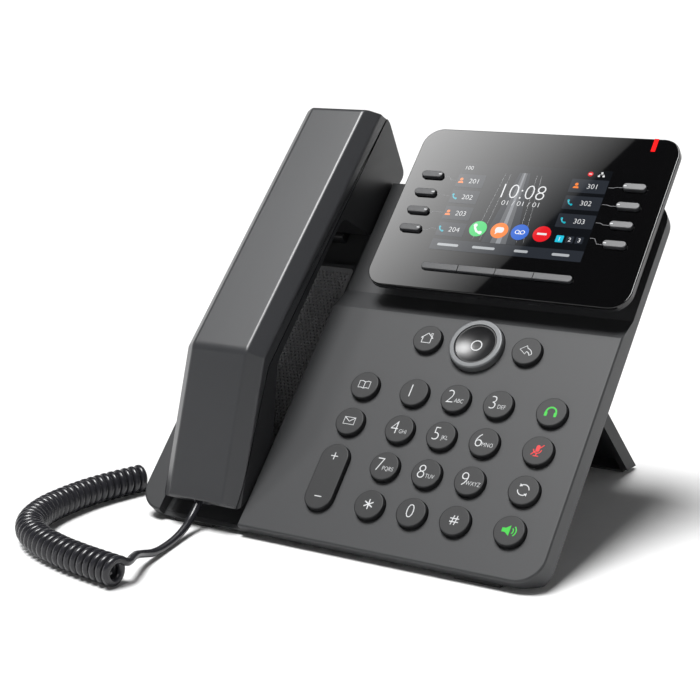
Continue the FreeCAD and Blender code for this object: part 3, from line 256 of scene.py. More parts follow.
def finished(name: str, bm: bmesh.types.BMesh, finishes: tuple[Finish, ...],
             smooth: bool = False) -> bpy.types.Object:
    """Turns a bmesh into a linked object at the origin.

    Args:
        name: The piece's name.
        bm: The shape, which is freed.
        finishes: Its finishes, in material-index order.
        smooth: Whether the faces are shaded smooth.

    Returns:
        The new object.
    """
    mesh = bpy.data.meshes.new(name)
    for face in bm.faces:
        face.smooth = smooth
    bm.to_mesh(mesh)
    bm.free()
    for finish in finishes:
        mesh.materials.append(finish.material())
    piece = bpy.data.objects.new(name, mesh)
    bpy.context.scene.collection.objects.link(piece)
    return piece


def mesh_of(curve: bpy.types.Curve) -> bpy.types.Mesh:
    """Makes a mesh of a curve or a text and deletes its object.

    Args:
        curve: The curve or the text.

    Returns:
        The mesh.
    """
    holder = bpy.data.objects.new("holder", curve)
    bpy.context.scene.collection.objects.link(holder)
    bpy.context.view_layer.update()
    ready = holder.evaluated_get(bpy.context.evaluated_depsgraph_get())
    mesh = bpy.data.meshes.new_from_object(ready)
    bpy.data.objects.remove(holder)
    return mesh


def polyline(points: list[Vector], bevel: float, closed: bool = False,
             resolution: int = 1) -> bpy.types.Mesh:
    """Sweeps a round section along straight runs between points.

    Args:
        points: The centreline.
        bevel: The section's radius.
        closed: Whether the last point joins the first.
        resolution: How round the section is.

    Returns:
        The swept mesh.
    """
    curve = bpy.data.curves.new("line", "CURVE")
    curve.dimensions = "3D"
    curve.bevel_depth = bevel
    curve.bevel_resolution = resolution
    curve.use_fill_caps = True
    spline = curve.splines.new("POLY")
    spline.points.add(len(points) - 1)
    for knot, point in zip(spline.points, points):
        knot.co = (*point, 1.0)
    spline.use_cyclic_u = closed
    return mesh_of(curve)


def arc(centre: Point2, radius: float, start: float, end: float, steps: int = 14) -> list[Point2]:
    """Finds points on a circle from one angle to another.

    Args:
        centre: The circle's centre.
        radius: Its radius.
        start: The angle of the first point, in degrees.
        end: The angle of the last point, in degrees.
        steps: How many steps lie between the two.

    Returns:
        The points, both ends included.
    """
    points = []
    for i in range(steps + 1):
        angle = math.radians(start + (end - start) * i / steps)
        points.append((centre[0] + radius * math.cos(angle), centre[1] + radius * math.sin(angle)))
    return points


def rounded_plate(size: Point2, corner: float, segments: int) -> bmesh.types.BMesh:
    """Makes a flat rectangle round the origin.

    Args:
        size: Its width and height.
        corner: The radius of its corners, or nought.
        segments: How many steps a corner has.

    Returns:
        The flat shape.
    """
    shape = bmesh.new()
    bmesh.ops.create_grid(shape, x_segments=1, y_segments=1, size=0.5)
    bmesh.ops.scale(shape, verts=list(shape.verts), vec=(*size, 1))
    if corner:
        bmesh.ops.bevel(shape, geom=list(shape.verts), offset=corner, segments=segments,
                        profile=0.5, affect="VERTICES", material=-1)
    return shape


CAPITAL_HEIGHT = 0.72       # of the built-in font, in em
TEXT_SEGMENTS = 3
TEXT_EXTRUDE = 0.004        # in em, before the scale to mm
TEXT_RISE = 0.02            # of the words' middle above their level, in mm
CORNER_SEGMENTS = 4


@dataclass
class Drawing:
    """A thin print, drawn flat in mm and laid on a face of the phone as one piece."""

    finishes: tuple[Finish, ...] = (LEGEND,)
    thickness: float = 0.04
    bm: bmesh.types.BMesh = field(default_factory=bmesh.new)

    def _add(self, mesh: bpy.types.Mesh, ink: int) -> None:
        """Takes a mesh into the drawing.

        Args:
            mesh: The mesh, which is deleted.
            ink: The index of its finish.
        """
        for face in mesh.polygons:
            face.material_index = ink
        self.bm.from_mesh(mesh)
        bpy.data.meshes.remove(mesh)

    def _flat(self, shape: bmesh.types.BMesh, ink: int) -> None:
        """Gives a flat shape its thickness and takes it in.

        Args:
            shape: The flat shape, which is freed.
            ink: The index of its finish.
        """
        made = bmesh.ops.extrude_face_region(shape, geom=list(shape.faces))
        top = [g for g in made["geom"] if isinstance(g, bmesh.types.BMVert)]
        bmesh.ops.translate(shape, verts=top, vec=(0, 0, self.thickness))
        bmesh.ops.recalc_face_normals(shape, faces=list(shape.faces))
        mesh = bpy.data.meshes.new("flat")
        shape.to_mesh(mesh)
        shape.free()
        self._add(mesh, ink)

    def text(self, words: str, at: Point2, height: float, ink: int = 0, level: float = 0,
             weight: float = 0.0, widen: float = 1.0) -> None:
        """Sets a figure or letters, centred on a point.

        Args:
            words: What is written.
            at: The middle of the words.
            height: The height of a capital.
            ink: The index of the finish.
            level: How high above the face the print starts.
            weight: Thickens or thins the strokes, in em.
            widen: Stretches the words sideways.
        """
        curve = bpy.data.curves.new("words", "FONT")
        curve.body = words
        curve.align_x = "CENTER"
        curve.align_y = "CENTER"
        curve.offset = weight
        curve.resolution_u = TEXT_SEGMENTS
        curve.extrude = TEXT_EXTRUDE
        mesh = mesh_of(curve)
        scale = height / CAPITAL_HEIGHT
        xs = [v.co.x for v in mesh.vertices]
        ys = [v.co.y for v in mesh.vertices]
        middle = Vector(((min(xs) + max(xs)) / 2, (min(ys) + max(ys)) / 2, 0))
        mesh.transform(Matrix.Translation(-middle))
        mesh.transform(Matrix.Diagonal((scale * widen, scale, scale, 1)))
        mesh.transform(Matrix.Translation((*at, level + TEXT_RISE)))
        self._add(mesh, ink)

    def line(self, points: list[Point2], width: float, ink: int = 0, closed: bool = False,
             level: float = 0) -> None:
        """Draws a stroke through points.

        Args:
            points: Its corners.
            width: Its width.
            ink: The index of the finish.
            closed: Whether it joins up.
            level: How high above the face it starts.
        """
        mesh = polyline([Vector((x, y, 0)) for x, y in points], width / 2, closed)
        mesh.transform(Matrix.Diagonal((1, 1, self.thickness / width, 1)))
        mesh.transform(Matrix.Translation((0, 0, level + self.thickness / 2)))
        self._add(mesh, ink)

    def disc(self, at: Point2, radius: float, ink: int = 0, level: float = 0,
             sides: int = 28) -> None:
        """Draws a filled circle.

        Args:
            at: Its centre.
            radius: Its radius.
            ink: The index of the finish.
            level: How high above the face it starts.
            sides: How many sides stand for the circle.
        """
        shape = bmesh.new()
        bmesh.ops.create_circle(shape, cap_ends=True, segments=sides, radius=radius)
        bmesh.ops.translate(shape, verts=list(shape.verts), vec=(*at, level))
        self._flat(shape, ink)

    def bar(self, at: Point2, size: Point2, corner: float = 0, ink: int = 0,
            level: float = 0) -> None:
        """Draws a filled rectangle.

        Args:
            at: Its centre.
            size: Its width and height.
            corner: The radius of its corners.
            ink: The index of the finish.
            level: How high above the face it starts.
        """
        shape = rounded_plate(size, corner, CORNER_SEGMENTS)
        bmesh.ops.translate(shape, verts=list(shape.verts), vec=(*at, level))
        self._flat(shape, ink)

    def shape(self, corners: list[Point2], ink: int = 0, level: float = 0) -> None:
        """Draws a filled outline with straight sides.

        Args:
            corners: Its corners in order.
            ink: The index of the finish.
            level: How high above the face it starts.
        """
        shape = bmesh.new()
        shape.faces.new([shape.verts.new((x, y, level)) for x, y in corners])
        self._flat(shape, ink)

    def lay(self, name: str, place: Matrix, body: str, slot: str) -> bpy.types.Object:
        """Finishes the drawing as a piece.

        Args:
            name: The piece's name.
            place: Takes drawing mm to the row frame.
            body: The body that it rides on.
            slot: Not used.

        Returns:
            The piece.
        """
        self.bm.transform(place)
        piece = finished(name, self.bm, self.finishes)
        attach(piece, body)
        return piece


@dataclass
class Studio:
    """A pale floor that turns up all round, soft light from the upper left, and the camera."""

    eye: Vector = field(default_factory=lambda: Vector((336.05, -622.97, 227.43)) * MM)
    right: Vector = field(default_factory=lambda: Vector((0.8541, 0.5200, 0.0)))
    ahead: Vector = field(default_factory=lambda: Vector((-0.5076, 0.8338, -0.2172)))
    lens: float = 81.87
    sensor: float = 36.0
    sight: float = 50.0
    floor_radius: float = 5.0
    wall_height: float = 2.5
    sun_direction: Vector = field(default_factory=lambda: Vector((0.12, 0.20, -0.97)))
    sun_strength: float = 3.8
    sun_spread: float = 24.0
    softbox_centre: Vector = field(default_factory=lambda: Vector((-0.6327, -0.262, 1.2)))
    softbox_size: Point2 = (0.95, 0.2)
    softbox_turn: float = 223.84
    softbox_power: float = 3.1
    softbox_fade: Point2 = (1.9, 0.1)
    sky: float = 0.05

    def build(self) -> None:
        """Makes the floor, the lights, the sky and the camera."""
        self._floor()
        self._sun()
        self._softbox()
        self._sky()
        self._camera()
        bpy.context.scene.view_settings.view_transform = "Standard"

    def _floor(self) -> None:
        """Spins a floor line and a quarter round into a shallow bowl."""
        bm = bmesh.new()
        knots = [(0.0, 0.0), (self.floor_radius, 0.0)]
        for point in arc((self.floor_radius, self.wall_height), self.wall_height, -80, 0, 9):
            knots.append(point)
        line = [bm.verts.new((r, 0, z)) for r, z in knots]
        edges = [bm.edges.new(pair) for pair in zip(line, line[1:])]
        bmesh.ops.spin(bm, geom=line + edges, cent=(0, 0, 0), axis=(0, 0, 1),
                       angle=math.tau, steps=64, use_merge=True)
        bmesh.ops.remove_doubles(bm, verts=list(bm.verts), dist=1e-5)
        bmesh.ops.recalc_face_normals(bm, faces=list(bm.faces))
        if sum(f.normal.z for f in bm.faces) < 0:
            bmesh.ops.reverse_faces(bm, faces=list(bm.faces))
        finished("floor", bm, (FLOOR,), smooth=True)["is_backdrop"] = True

    def _sun(self) -> None:
        """Hangs the broad overhead light."""
        sun = bpy.data.lights.new("studio_key", "SUN")
        sun.energy = self.sun_strength
        sun.angle = math.radians(self.sun_spread)
        sun_object = bpy.data.objects.new("studio_key", sun)
        sun_object.rotation_mode = "QUATERNION"
        sun_object.rotation_quaternion = self.sun_direction.to_track_quat("-Z", "Y")
        bpy.context.scene.collection.objects.link(sun_object)

    def _softbox(self) -> None:
        """Hangs the long softbox, brighter at one edge, that the glass mirrors."""
        box = bpy.data.lights.new("softbox", "AREA")
        box.shape = "RECTANGLE"
        box.size, box.size_y = self.softbox_size
        box.energy = self.softbox_power
        box.use_nodes = True
        nodes = box.node_tree.nodes
        links = box.node_tree.links
        place = nodes.new("ShaderNodeNewGeometry")
        split = nodes.new("ShaderNodeSeparateXYZ")
        fade = nodes.new("ShaderNodeMapRange")
        fade.inputs["To Min"].default_value = self.softbox_fade[0]
        fade.inputs["To Max"].default_value = self.softbox_fade[1]
        links.new(place.outputs["Parametric"], split.inputs["Vector"])
        links.new(split.outputs["Y"], fade.inputs["Value"])
        links.new(fade.outputs["Result"], nodes["Emission"].inputs["Strength"])
        box_object = bpy.data.objects.new("softbox", box)
        box_object.location = self.softbox_centre
        box_object.rotation_euler = (0, 0, math.radians(self.softbox_turn))
        box_object.visible_camera = False
        bpy.context.scene.collection.objects.link(box_object)

    def _sky(self) -> None:
        """Fills the shadows a little with an even sky."""
        world = bpy.data.worlds.new("studio")
        world.use_nodes = True
        background = world.node_tree.nodes["Background"]
        background.inputs["Color"].default_value = (1, 1, 1, 1)
        background.inputs["Strength"].default_value = self.sky
        bpy.context.scene.world = world

    def _camera(self) -> None:
        """Puts the camera at its place, level, with its long lens."""
        camera = bpy.data.cameras.new("camera")
        camera.lens = self.lens
        camera.sensor_width = self.sensor
        camera.clip_end = self.sight
        holder = bpy.data.objects.new("camera", camera)
        right = self.right.normalized()
        ahead = self.ahead.normalized()
        up = right.cross(ahead)
        holder.matrix_world = Matrix((
            (right.x, up.x, -ahead.x, self.eye.x),
            (right.y, up.y, -ahead.y, self.eye.y),
            (right.z, up.z, -ahead.z, self.eye.z),
            (0, 0, 0, 1),
        ))
        bpy.context.scene.collection.objects.link(holder)
        bpy.context.scene.camera = holder


def route(points: tuple[Point3, ...]) -> list[Vector]:
    """Reads the line of one NURBS spline.

    Args:
        points: Its control points, in mm.

    Returns:
        Closely spaced points on it, in metres.
    """
    curve = bpy.data.curves.new("route", "CURVE")
    curve.dimensions = "3D"
    curve.resolution_u = 24
    spline = curve.splines.new("NURBS")
    spline.points.add(len(points) - 1)
    for knot, point in zip(spline.points, points):
        knot.co = (*(Vector(point) * MM), 1.0)
    spline.order_u = 3
    spline.use_endpoint_u = True
    mesh = mesh_of(curve)
    line = [v.co.copy() for v in mesh.vertices]
    bpy.data.meshes.remove(mesh)
    return line


def length_of(line: list[Vector]) -> float:
    """The length of a line of points."""
    return sum((b - a).length for a, b in zip(line, line[1:]))


@dataclass
class HandsetCord:
    """The curly cord: a lead from the handset's foot, the coil, and a lead to the body."""

    diameter: float = 3.4 * MM
    coil_radius: float = 4.9 * MM
    turns: float = 40.625
    start_angle: float = 135.0
    steps: int = 26
    run_in: float = 2.5 * MM
    run_out: float = 5.0 * MM
    front: tuple[Point3, ...] = (
        (-64.95, -90.374, 12.539), (-64.95, -95.87, 6.73), (-63.0, -106.0, 3.0),
        (-60.3, -118.5, 1.9), (-57.8, -131.5, 2.4), (-56.0, -142.5, 5.8), (-52.2, -151.5, 8.7),
    )
    axis: tuple[Point3, ...] = (
        (-49.6, -165.2, 6.6), (-66.0, -162.9, 6.6), (-85.0, -158.9, 6.6),
        (-103.0, -152.4, 6.6), (-117.8, -142.0, 6.6), (-126.0, -124.5, 6.6),
        (-127.6, -105.0, 6.6), (-126.4, -84.0, 6.6), (-119.6, -61.5, 6.6),
    )
    rear: tuple[Point3, ...] = (
        (-110.5, -52.0, 1.8), (-106.0, -33.0, 1.9), (-96.0, -18.0, 1.8),
        (-86.0, -3.5, 1.9), (-79.6, 12.5, 4.6), (-77.4, 26.0, 14.5), (-76.9, 33.0, 32.0),
        (-76.85, 36.237, 56.0), (-76.85, 36.237, 98.05),
    )

    def coil(self) -> list[Vector]:
        """Winds the coil round its axis, from its top at the front to its foot at the rear.

        Returns:
            Points on the cord's centreline.
        """
        line = route(self.axis)
        total = length_of(line)
        count = int(self.turns * self.steps)
        wound = []
        run, index = 0.0, 0
        for i in range(count + 1):
            want = total * i / count
            stretch = (line[index + 1] - line[index]).length
            while index < len(line) - 2 and run + stretch < want:
                run += stretch
                index += 1
                stretch = (line[index + 1] - line[index]).length
            ahead = (line[index + 1] - line[index]).normalized()
            centre = line[index] + ahead * (want - run)
            side = Vector((0, 0, 1)).cross(ahead).normalized()
            angle = math.radians(self.start_angle) - math.tau * i / self.steps
            wound.append(centre + side * self.coil_radius * math.cos(angle)
                         + Vector((0, 0, self.coil_radius * math.sin(angle))))
        return wound

    def _tube(self, name: str, line: list[Vector]) -> bpy.types.Object:
        """Makes the round cord along a line.

        Args:
            name: The piece's name.
            line: Its centreline.

        Returns:
            The piece.
        """
        mesh = polyline(line, self.diameter / 2, resolution=3)
        bm = bmesh.new()
        bm.from_mesh(mesh)
        bpy.data.meshes.remove(mesh)
        bmesh.ops.recalc_face_normals(bm, faces=list(bm.faces))
        tube = finished(name, bm, (CORD,), smooth=True)
        return tube

    def build(self, nodes: dict[str, bpy.types.Object]) -> None:
        """Args:
            nodes: Not used.
        """
        coil = self.coil()
        arrive = coil[0] - (coil[1] - coil[0]).normalized() * self.run_in
        leave = coil[-1] + (coil[-1] - coil[-2]).normalized() * self.run_out
        leave.z = coil[-1].z
        front = route((*self.front, tuple(arrive / MM), tuple(coil[0] / MM)))
        rear = route((tuple(coil[-1] / MM), tuple(leave / MM), *self.rear))
        lead = self._tube("handset_lead", front)
        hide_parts("cord_front_lead")
        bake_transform(lead)
        line = coil + rear[1:]
        curly = self._tube("curly_cord", line)
        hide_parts("cord_coil", "cord_rear_lead")
        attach(curly, "base")
        LOG.info("cord: lead %.4f m, curly %.4f m", length_of(front), length_of(line))


@dataclass
class HandsetShell:
    """The handset's outer shell with its hard edges softened."""

    edge_round: float = 0.9 * MM
    edge_segments: int = 3
    sharp: float = math.radians(20)
    weld: float = 0.002 * MM
    flatness: float = math.radians(0.6)
    crease: float = math.radians(40)
    facet_weight: int = 100
    socket: Vector = field(default_factory=lambda: Vector((-64.95, -90.4, 12.5)) * MM)
    socket_room: float = 14.0 * MM

    def build(self, nodes: dict[str, bpy.types.Object]) -> None:
        """Rounds the edges of a merged copy of the shell, away from the cord's socket.

        Args:
            nodes: The CAD nodes by name.
        """
        bm = bmesh.new()
        bm.from_mesh(nodes["handset_outer_shell"].data)
        bmesh.ops.remove_doubles(bm, verts=list(bm.verts), dist=self.weld)
        bmesh.ops.dissolve_limit(bm, angle_limit=self.flatness, verts=list(bm.verts),
                                 edges=list(bm.edges))
        hard = [
            edge for edge in bm.edges
            if edge.is_convex and edge.calc_face_angle() > self.sharp
            and min((v.co - self.socket).length for v in edge.verts) > self.socket_room
        ]
        bmesh.ops.bevel(bm, geom=hard, offset=self.edge_round, segments=self.edge_segments,
                        profile=0.5, affect="EDGES", clamp_overlap=False, material=-1)
        shell = finished("handset_back", bm, (HANDSET,), smooth=True)
        shell.data.set_sharp_from_angle(angle=self.crease)
        even = shell.modifiers.new("even_facets", "WEIGHTED_NORMAL")
        even.weight = self.facet_weight
        even.keep_sharp = True
        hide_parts("handset_outer_shell")
        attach(shell, "handset")
        LOG.info("handset_back: %d faces", len(shell.data.polygons))


@dataclass
class Grille:
    """The perforated plate over the loudspeaker, in the handset channel."""

    centre: Point2 = (-64.1, 92.0)
    size: Point2 = (36.4, 96.0)
    top: float = -7.6
    thickness: float = 1.0
    corner: float = 2.0
    corner_segments: int = 5
    pitch: float = 2.0
    hole_radius: float = 0.56
    hole_sides: int = 8
    margin: float = 1.6

    def build(self, deck: DeckFrame) -> None:
        """Cuts the plate and gives it its thickness.

        Args:
            deck: The deck's axes.
        """
        bm = bmesh.new()
        half_x, half_y = self.size[0] / 2, self.size[1] / 2
        row_step = self.pitch * math.sqrt(3) / 2
        rows = int((half_y - self.margin) / row_step)
        columns = int((half_x - self.margin) / self.pitch)
        for row in range(-rows, rows + 1):
            shift = 0.5 * self.pitch if row % 2 else 0.0
            for column in range(-columns, columns + 1):
                x = column * self.pitch + shift
                if abs(x) > half_x - self.margin:
                    continue
                place = Matrix.Translation((x, row * row_step, 0))
                bmesh.ops.create_circle(bm, segments=self.hole_sides, radius=self.hole_radius,
                                        matrix=place)
        rim = rounded_plate(self.size, self.corner, self.corner_segments)
        bmesh.ops.delete(rim, geom=list(rim.faces), context="FACES_ONLY")
        edge = bpy.data.meshes.new("rim")
        rim.to_mesh(edge)
        rim.free()
        bm.from_mesh(edge)
        bpy.data.meshes.remove(edge)
        bmesh.ops.triangle_fill(bm, edges=list(bm.edges), use_beauty=True, use_dissolve=False,
                                normal=(0, 0, 1))
        made = bmesh.ops.extrude_face_region(bm, geom=list(bm.faces))
        below = [g for g in made["geom"] if isinstance(g, bmesh.types.BMVert)]
        bmesh.ops.translate(bm, verts=below, vec=(0, 0, -self.thickness))
        bmesh.ops.recalc_face_normals(bm, faces=list(bm.faces))
        place = Matrix.Translation((*self.centre, self.top))
        bm.transform(deck.matrix @ place)
        plate = finished("grille_plate", bm, (GRILLE_PAINTED_LIGHT,))
        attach(plate, "base")
        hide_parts("speaker_grille")
        LOG.info("grille_plate: %d faces", len(plate.data.polygons))


@dataclass
class Keypad:
    """The prints on the keys: figures, letters, signs and lit symbols."""

    deck: DeckFrame
    nodes: dict[str, bpy.types.Object]
    lift: float = 0.01
    figure_height: float = 6.7
    letter_height: float = 2.0
    figure_weight: float = -0.022
    letter_weight: float = -0.012
    figure_at: Point2 = (-2.1, 0.5)
    figure_widen: float = 0.9
    lone_figures: dict[str, float] = field(default_factory=lambda: {"0": -0.4, "1": -1.5})
    letter_at: Point2 = (2.2, -1.2)
    letter_widen: float = 0.8
    star_reach: float = 2.3
    rocker_sign_at: float = 9.8
    rocker_sign_reach: float = 1.7
    stroke: float = 0.42
    fine: float = 0.42 * 0.85
    letters: dict[str, str] = field(default_factory=lambda: {
        "2": "ABC", "3": "DEF", "4": "GHI", "5": "JKL",
        "6": "MNO", "7": "PQRS", "8": "TUV", "9": "WXYZ",
    })

    def _lay(self, drawing: Drawing, node: str) -> None:
        """Lays a drawing on a key's face.

        Args:
            drawing: The drawing, centred on the key.
            node: The key's name.
        """
        at = self.deck.seat(self.nodes[node])
        place = self.deck.matrix @ Matrix.Translation((at.x, at.y, at.z + self.lift))
        drawing.lay(f"print_{node}", place, node, "key_plastic")

    def figures(self) -> None:
        """Prints the twelve keys of the dial."""
        for name in "0123456789":
            drawing = Drawing()
            at = (self.lone_figures.get(name, self.figure_at[0]), self.figure_at[1])
            drawing.text(name, at, self.figure_height, weight=self.figure_weight,
                         widen=self.figure_widen)
            if name in self.letters:
                drawing.text(self.letters[name], self.letter_at, self.letter_height,
                             weight=self.letter_weight, widen=self.letter_widen)
            self._lay(drawing, f"key_{name}")
        star = Drawing()
        for angle in (math.radians(90), math.radians(30), math.radians(150)):
            x, y = self.star_reach * math.cos(angle), self.star_reach * math.sin(angle)
            star.line([(-x, -y), (x, y)], self.stroke * 1.25)
        self._lay(star, "key_star")
        hash_sign = Drawing()
        for side in (-0.75, 0.75):
            hash_sign.line([(side - 0.35, -2.1), (side + 0.35, 2.1)], self.stroke)
            hash_sign.line([(-2.0, side), (2.0, side)], self.stroke)
        self._lay(hash_sign, "key_hash")

    def rocker(self) -> None:
        """Prints the plus and the minus of the volume rocker."""
        drawing = Drawing()
        at, reach = self.rocker_sign_at, self.rocker_sign_reach
        drawing.line([(-reach, at), (reach, at)], self.stroke)
        drawing.line([(0, at - reach), (0, at + reach)], self.stroke)
        drawing.line([(-reach, -at), (reach, -at)], self.stroke)
        self._lay(drawing, "volume_rocker")

    def symbols(self) -> None:
        """Prints the white symbols round the dial."""
        home = Drawing()
        home.line([(-2.9, 0.1), (0, 2.7), (2.9, 0.1)], self.stroke)
        home.line([(-2.1, 0.5), (-2.1, -2.2), (2.1, -2.2), (2.1, 0.5)], self.stroke)
        home.line([(1.5, 1.7), (1.5, 2.7), (2.2, 2.7), (2.2, 1.0)], self.stroke * 0.7)
        self._lay(home, "key_home")
        back = Drawing()
        bow = arc((-0.2, -1.9), 3.1, 78, 8, 8)
        inner = arc((-0.2, -2.5), 2.1, 8, 78, 6)
        head = [(-0.2, inner[-1][1] - 1.3), (-3.0, 0.4), (-0.2, bow[0][1] + 1.3)]
        back.line([*bow, *inner, *head], self.fine, closed=True)
        self._lay(back, "key_back")
        book = Drawing()
        for side in (-1, 1):
            page = [(0, -1.7), (side * 1.3, -1.3), (side * 2.7, -1.5), (side * 2.7, 1.8),
                    (side * 1.3, 2.0), (0, 1.5)]
            book.line(page, self.fine)
        book.line([(0, -1.7), (0, 1.5)], self.fine)
        self._lay(book, "key_book")
        envelope = Drawing()
        envelope.line([(-2.6, -1.7), (2.6, -1.7), (2.6, 1.7), (-2.6, 1.7)], self.fine,
                      closed=True)
        envelope.line([(-2.5, 1.6), (0, -0.3), (2.5, 1.6)], self.fine)
        self._lay(envelope, "key_message")
        redial = Drawing()
        for start in (5, 185):
            turn = arc((0, 0), 2.4, start, start + 140, 10)
            redial.line(turn, self.stroke)
            tip = turn[-1]
            heading = math.radians(start + 140 + 90)
            outer, inner = (
                (tip[0] - 1.3 * math.cos(heading + turned),
                 tip[1] - 1.3 * math.sin(heading + turned))
                for turned in (0.6, -0.75)
            )
            redial.shape([outer, tip, inner])
        self._lay(redial, "key_redial")

    def lit_symbols(self) -> None:
        """Prints the headset, the microphone and the speaker, which light up."""
        headset = Drawing((GREEN,))
        headset.line(arc((0, -0.2), 2.2, 0, 180, 12), 0.75)
        headset.bar((-2.1, -1.2), (1.25, 2.1), 0.4)
        headset.bar((2.1, -1.2), (1.25, 2.1), 0.4)
        self._lay(headset, "key_headset")
        mute = Drawing((RED,))
        mute.bar((0, 0.9), (1.7, 3.1), 0.8)
        mute.line(arc((0, 0.4), 1.75, 180, 360, 10), 0.45)
        mute.line([(0, -1.4), (0, -2.5)], 0.45)
        mute.line([(-1.2, -2.6), (1.2, -2.6)], 0.45)
        mute.line([(-2.3, -2.2), (2.3, 2.7)], 0.5, level=0.02)
        self._lay(mute, "key_mute")
        speaker = Drawing((GREEN,))
        speaker.shape([(-3.0, -0.9), (-1.5, -0.9), (0.4, -2.3), (0.4, 2.3), (-1.5, 0.9),
                       (-3.0, 0.9)])
        for radius in (1.5, 2.7):
            speaker.line(arc((0.4, 0), radius, -48, 48, 8), 0.5)
        self._lay(speaker, "key_speaker")

    def build(self) -> None:
        """Prints every key in turn."""
        self.figures()
        self.rocker()
        self.symbols()
        self.lit_symbols()
        LOG.info("keypad prints done")


@dataclass
class Navigation:
    """The ring's middle: the white circle in the dish of the OK key."""

    deck: DeckFrame
    nodes: dict[str, bpy.types.Object]
    dish_depth: float = 1.5
    rise: float = 0.12
    circle_radius: float = 2.4
    circle_stroke: float = 0.5

    def build(self) -> None:
        """Prints the circle at the bottom of the dish."""
        at = self.deck.seat(self.nodes["ok_key"])
        ring = Drawing()
        ring.line(arc((0, 0), self.circle_radius, 0, 345, 23), self.circle_stroke, closed=True)
        level = at.z - self.dish_depth + self.rise
        ring.lay("print_ok_key", self.deck.matrix @ Matrix.Translation((at.x, at.y, level)),
                 "ok_key", "gloss_black")
        LOG.info("ok print done")


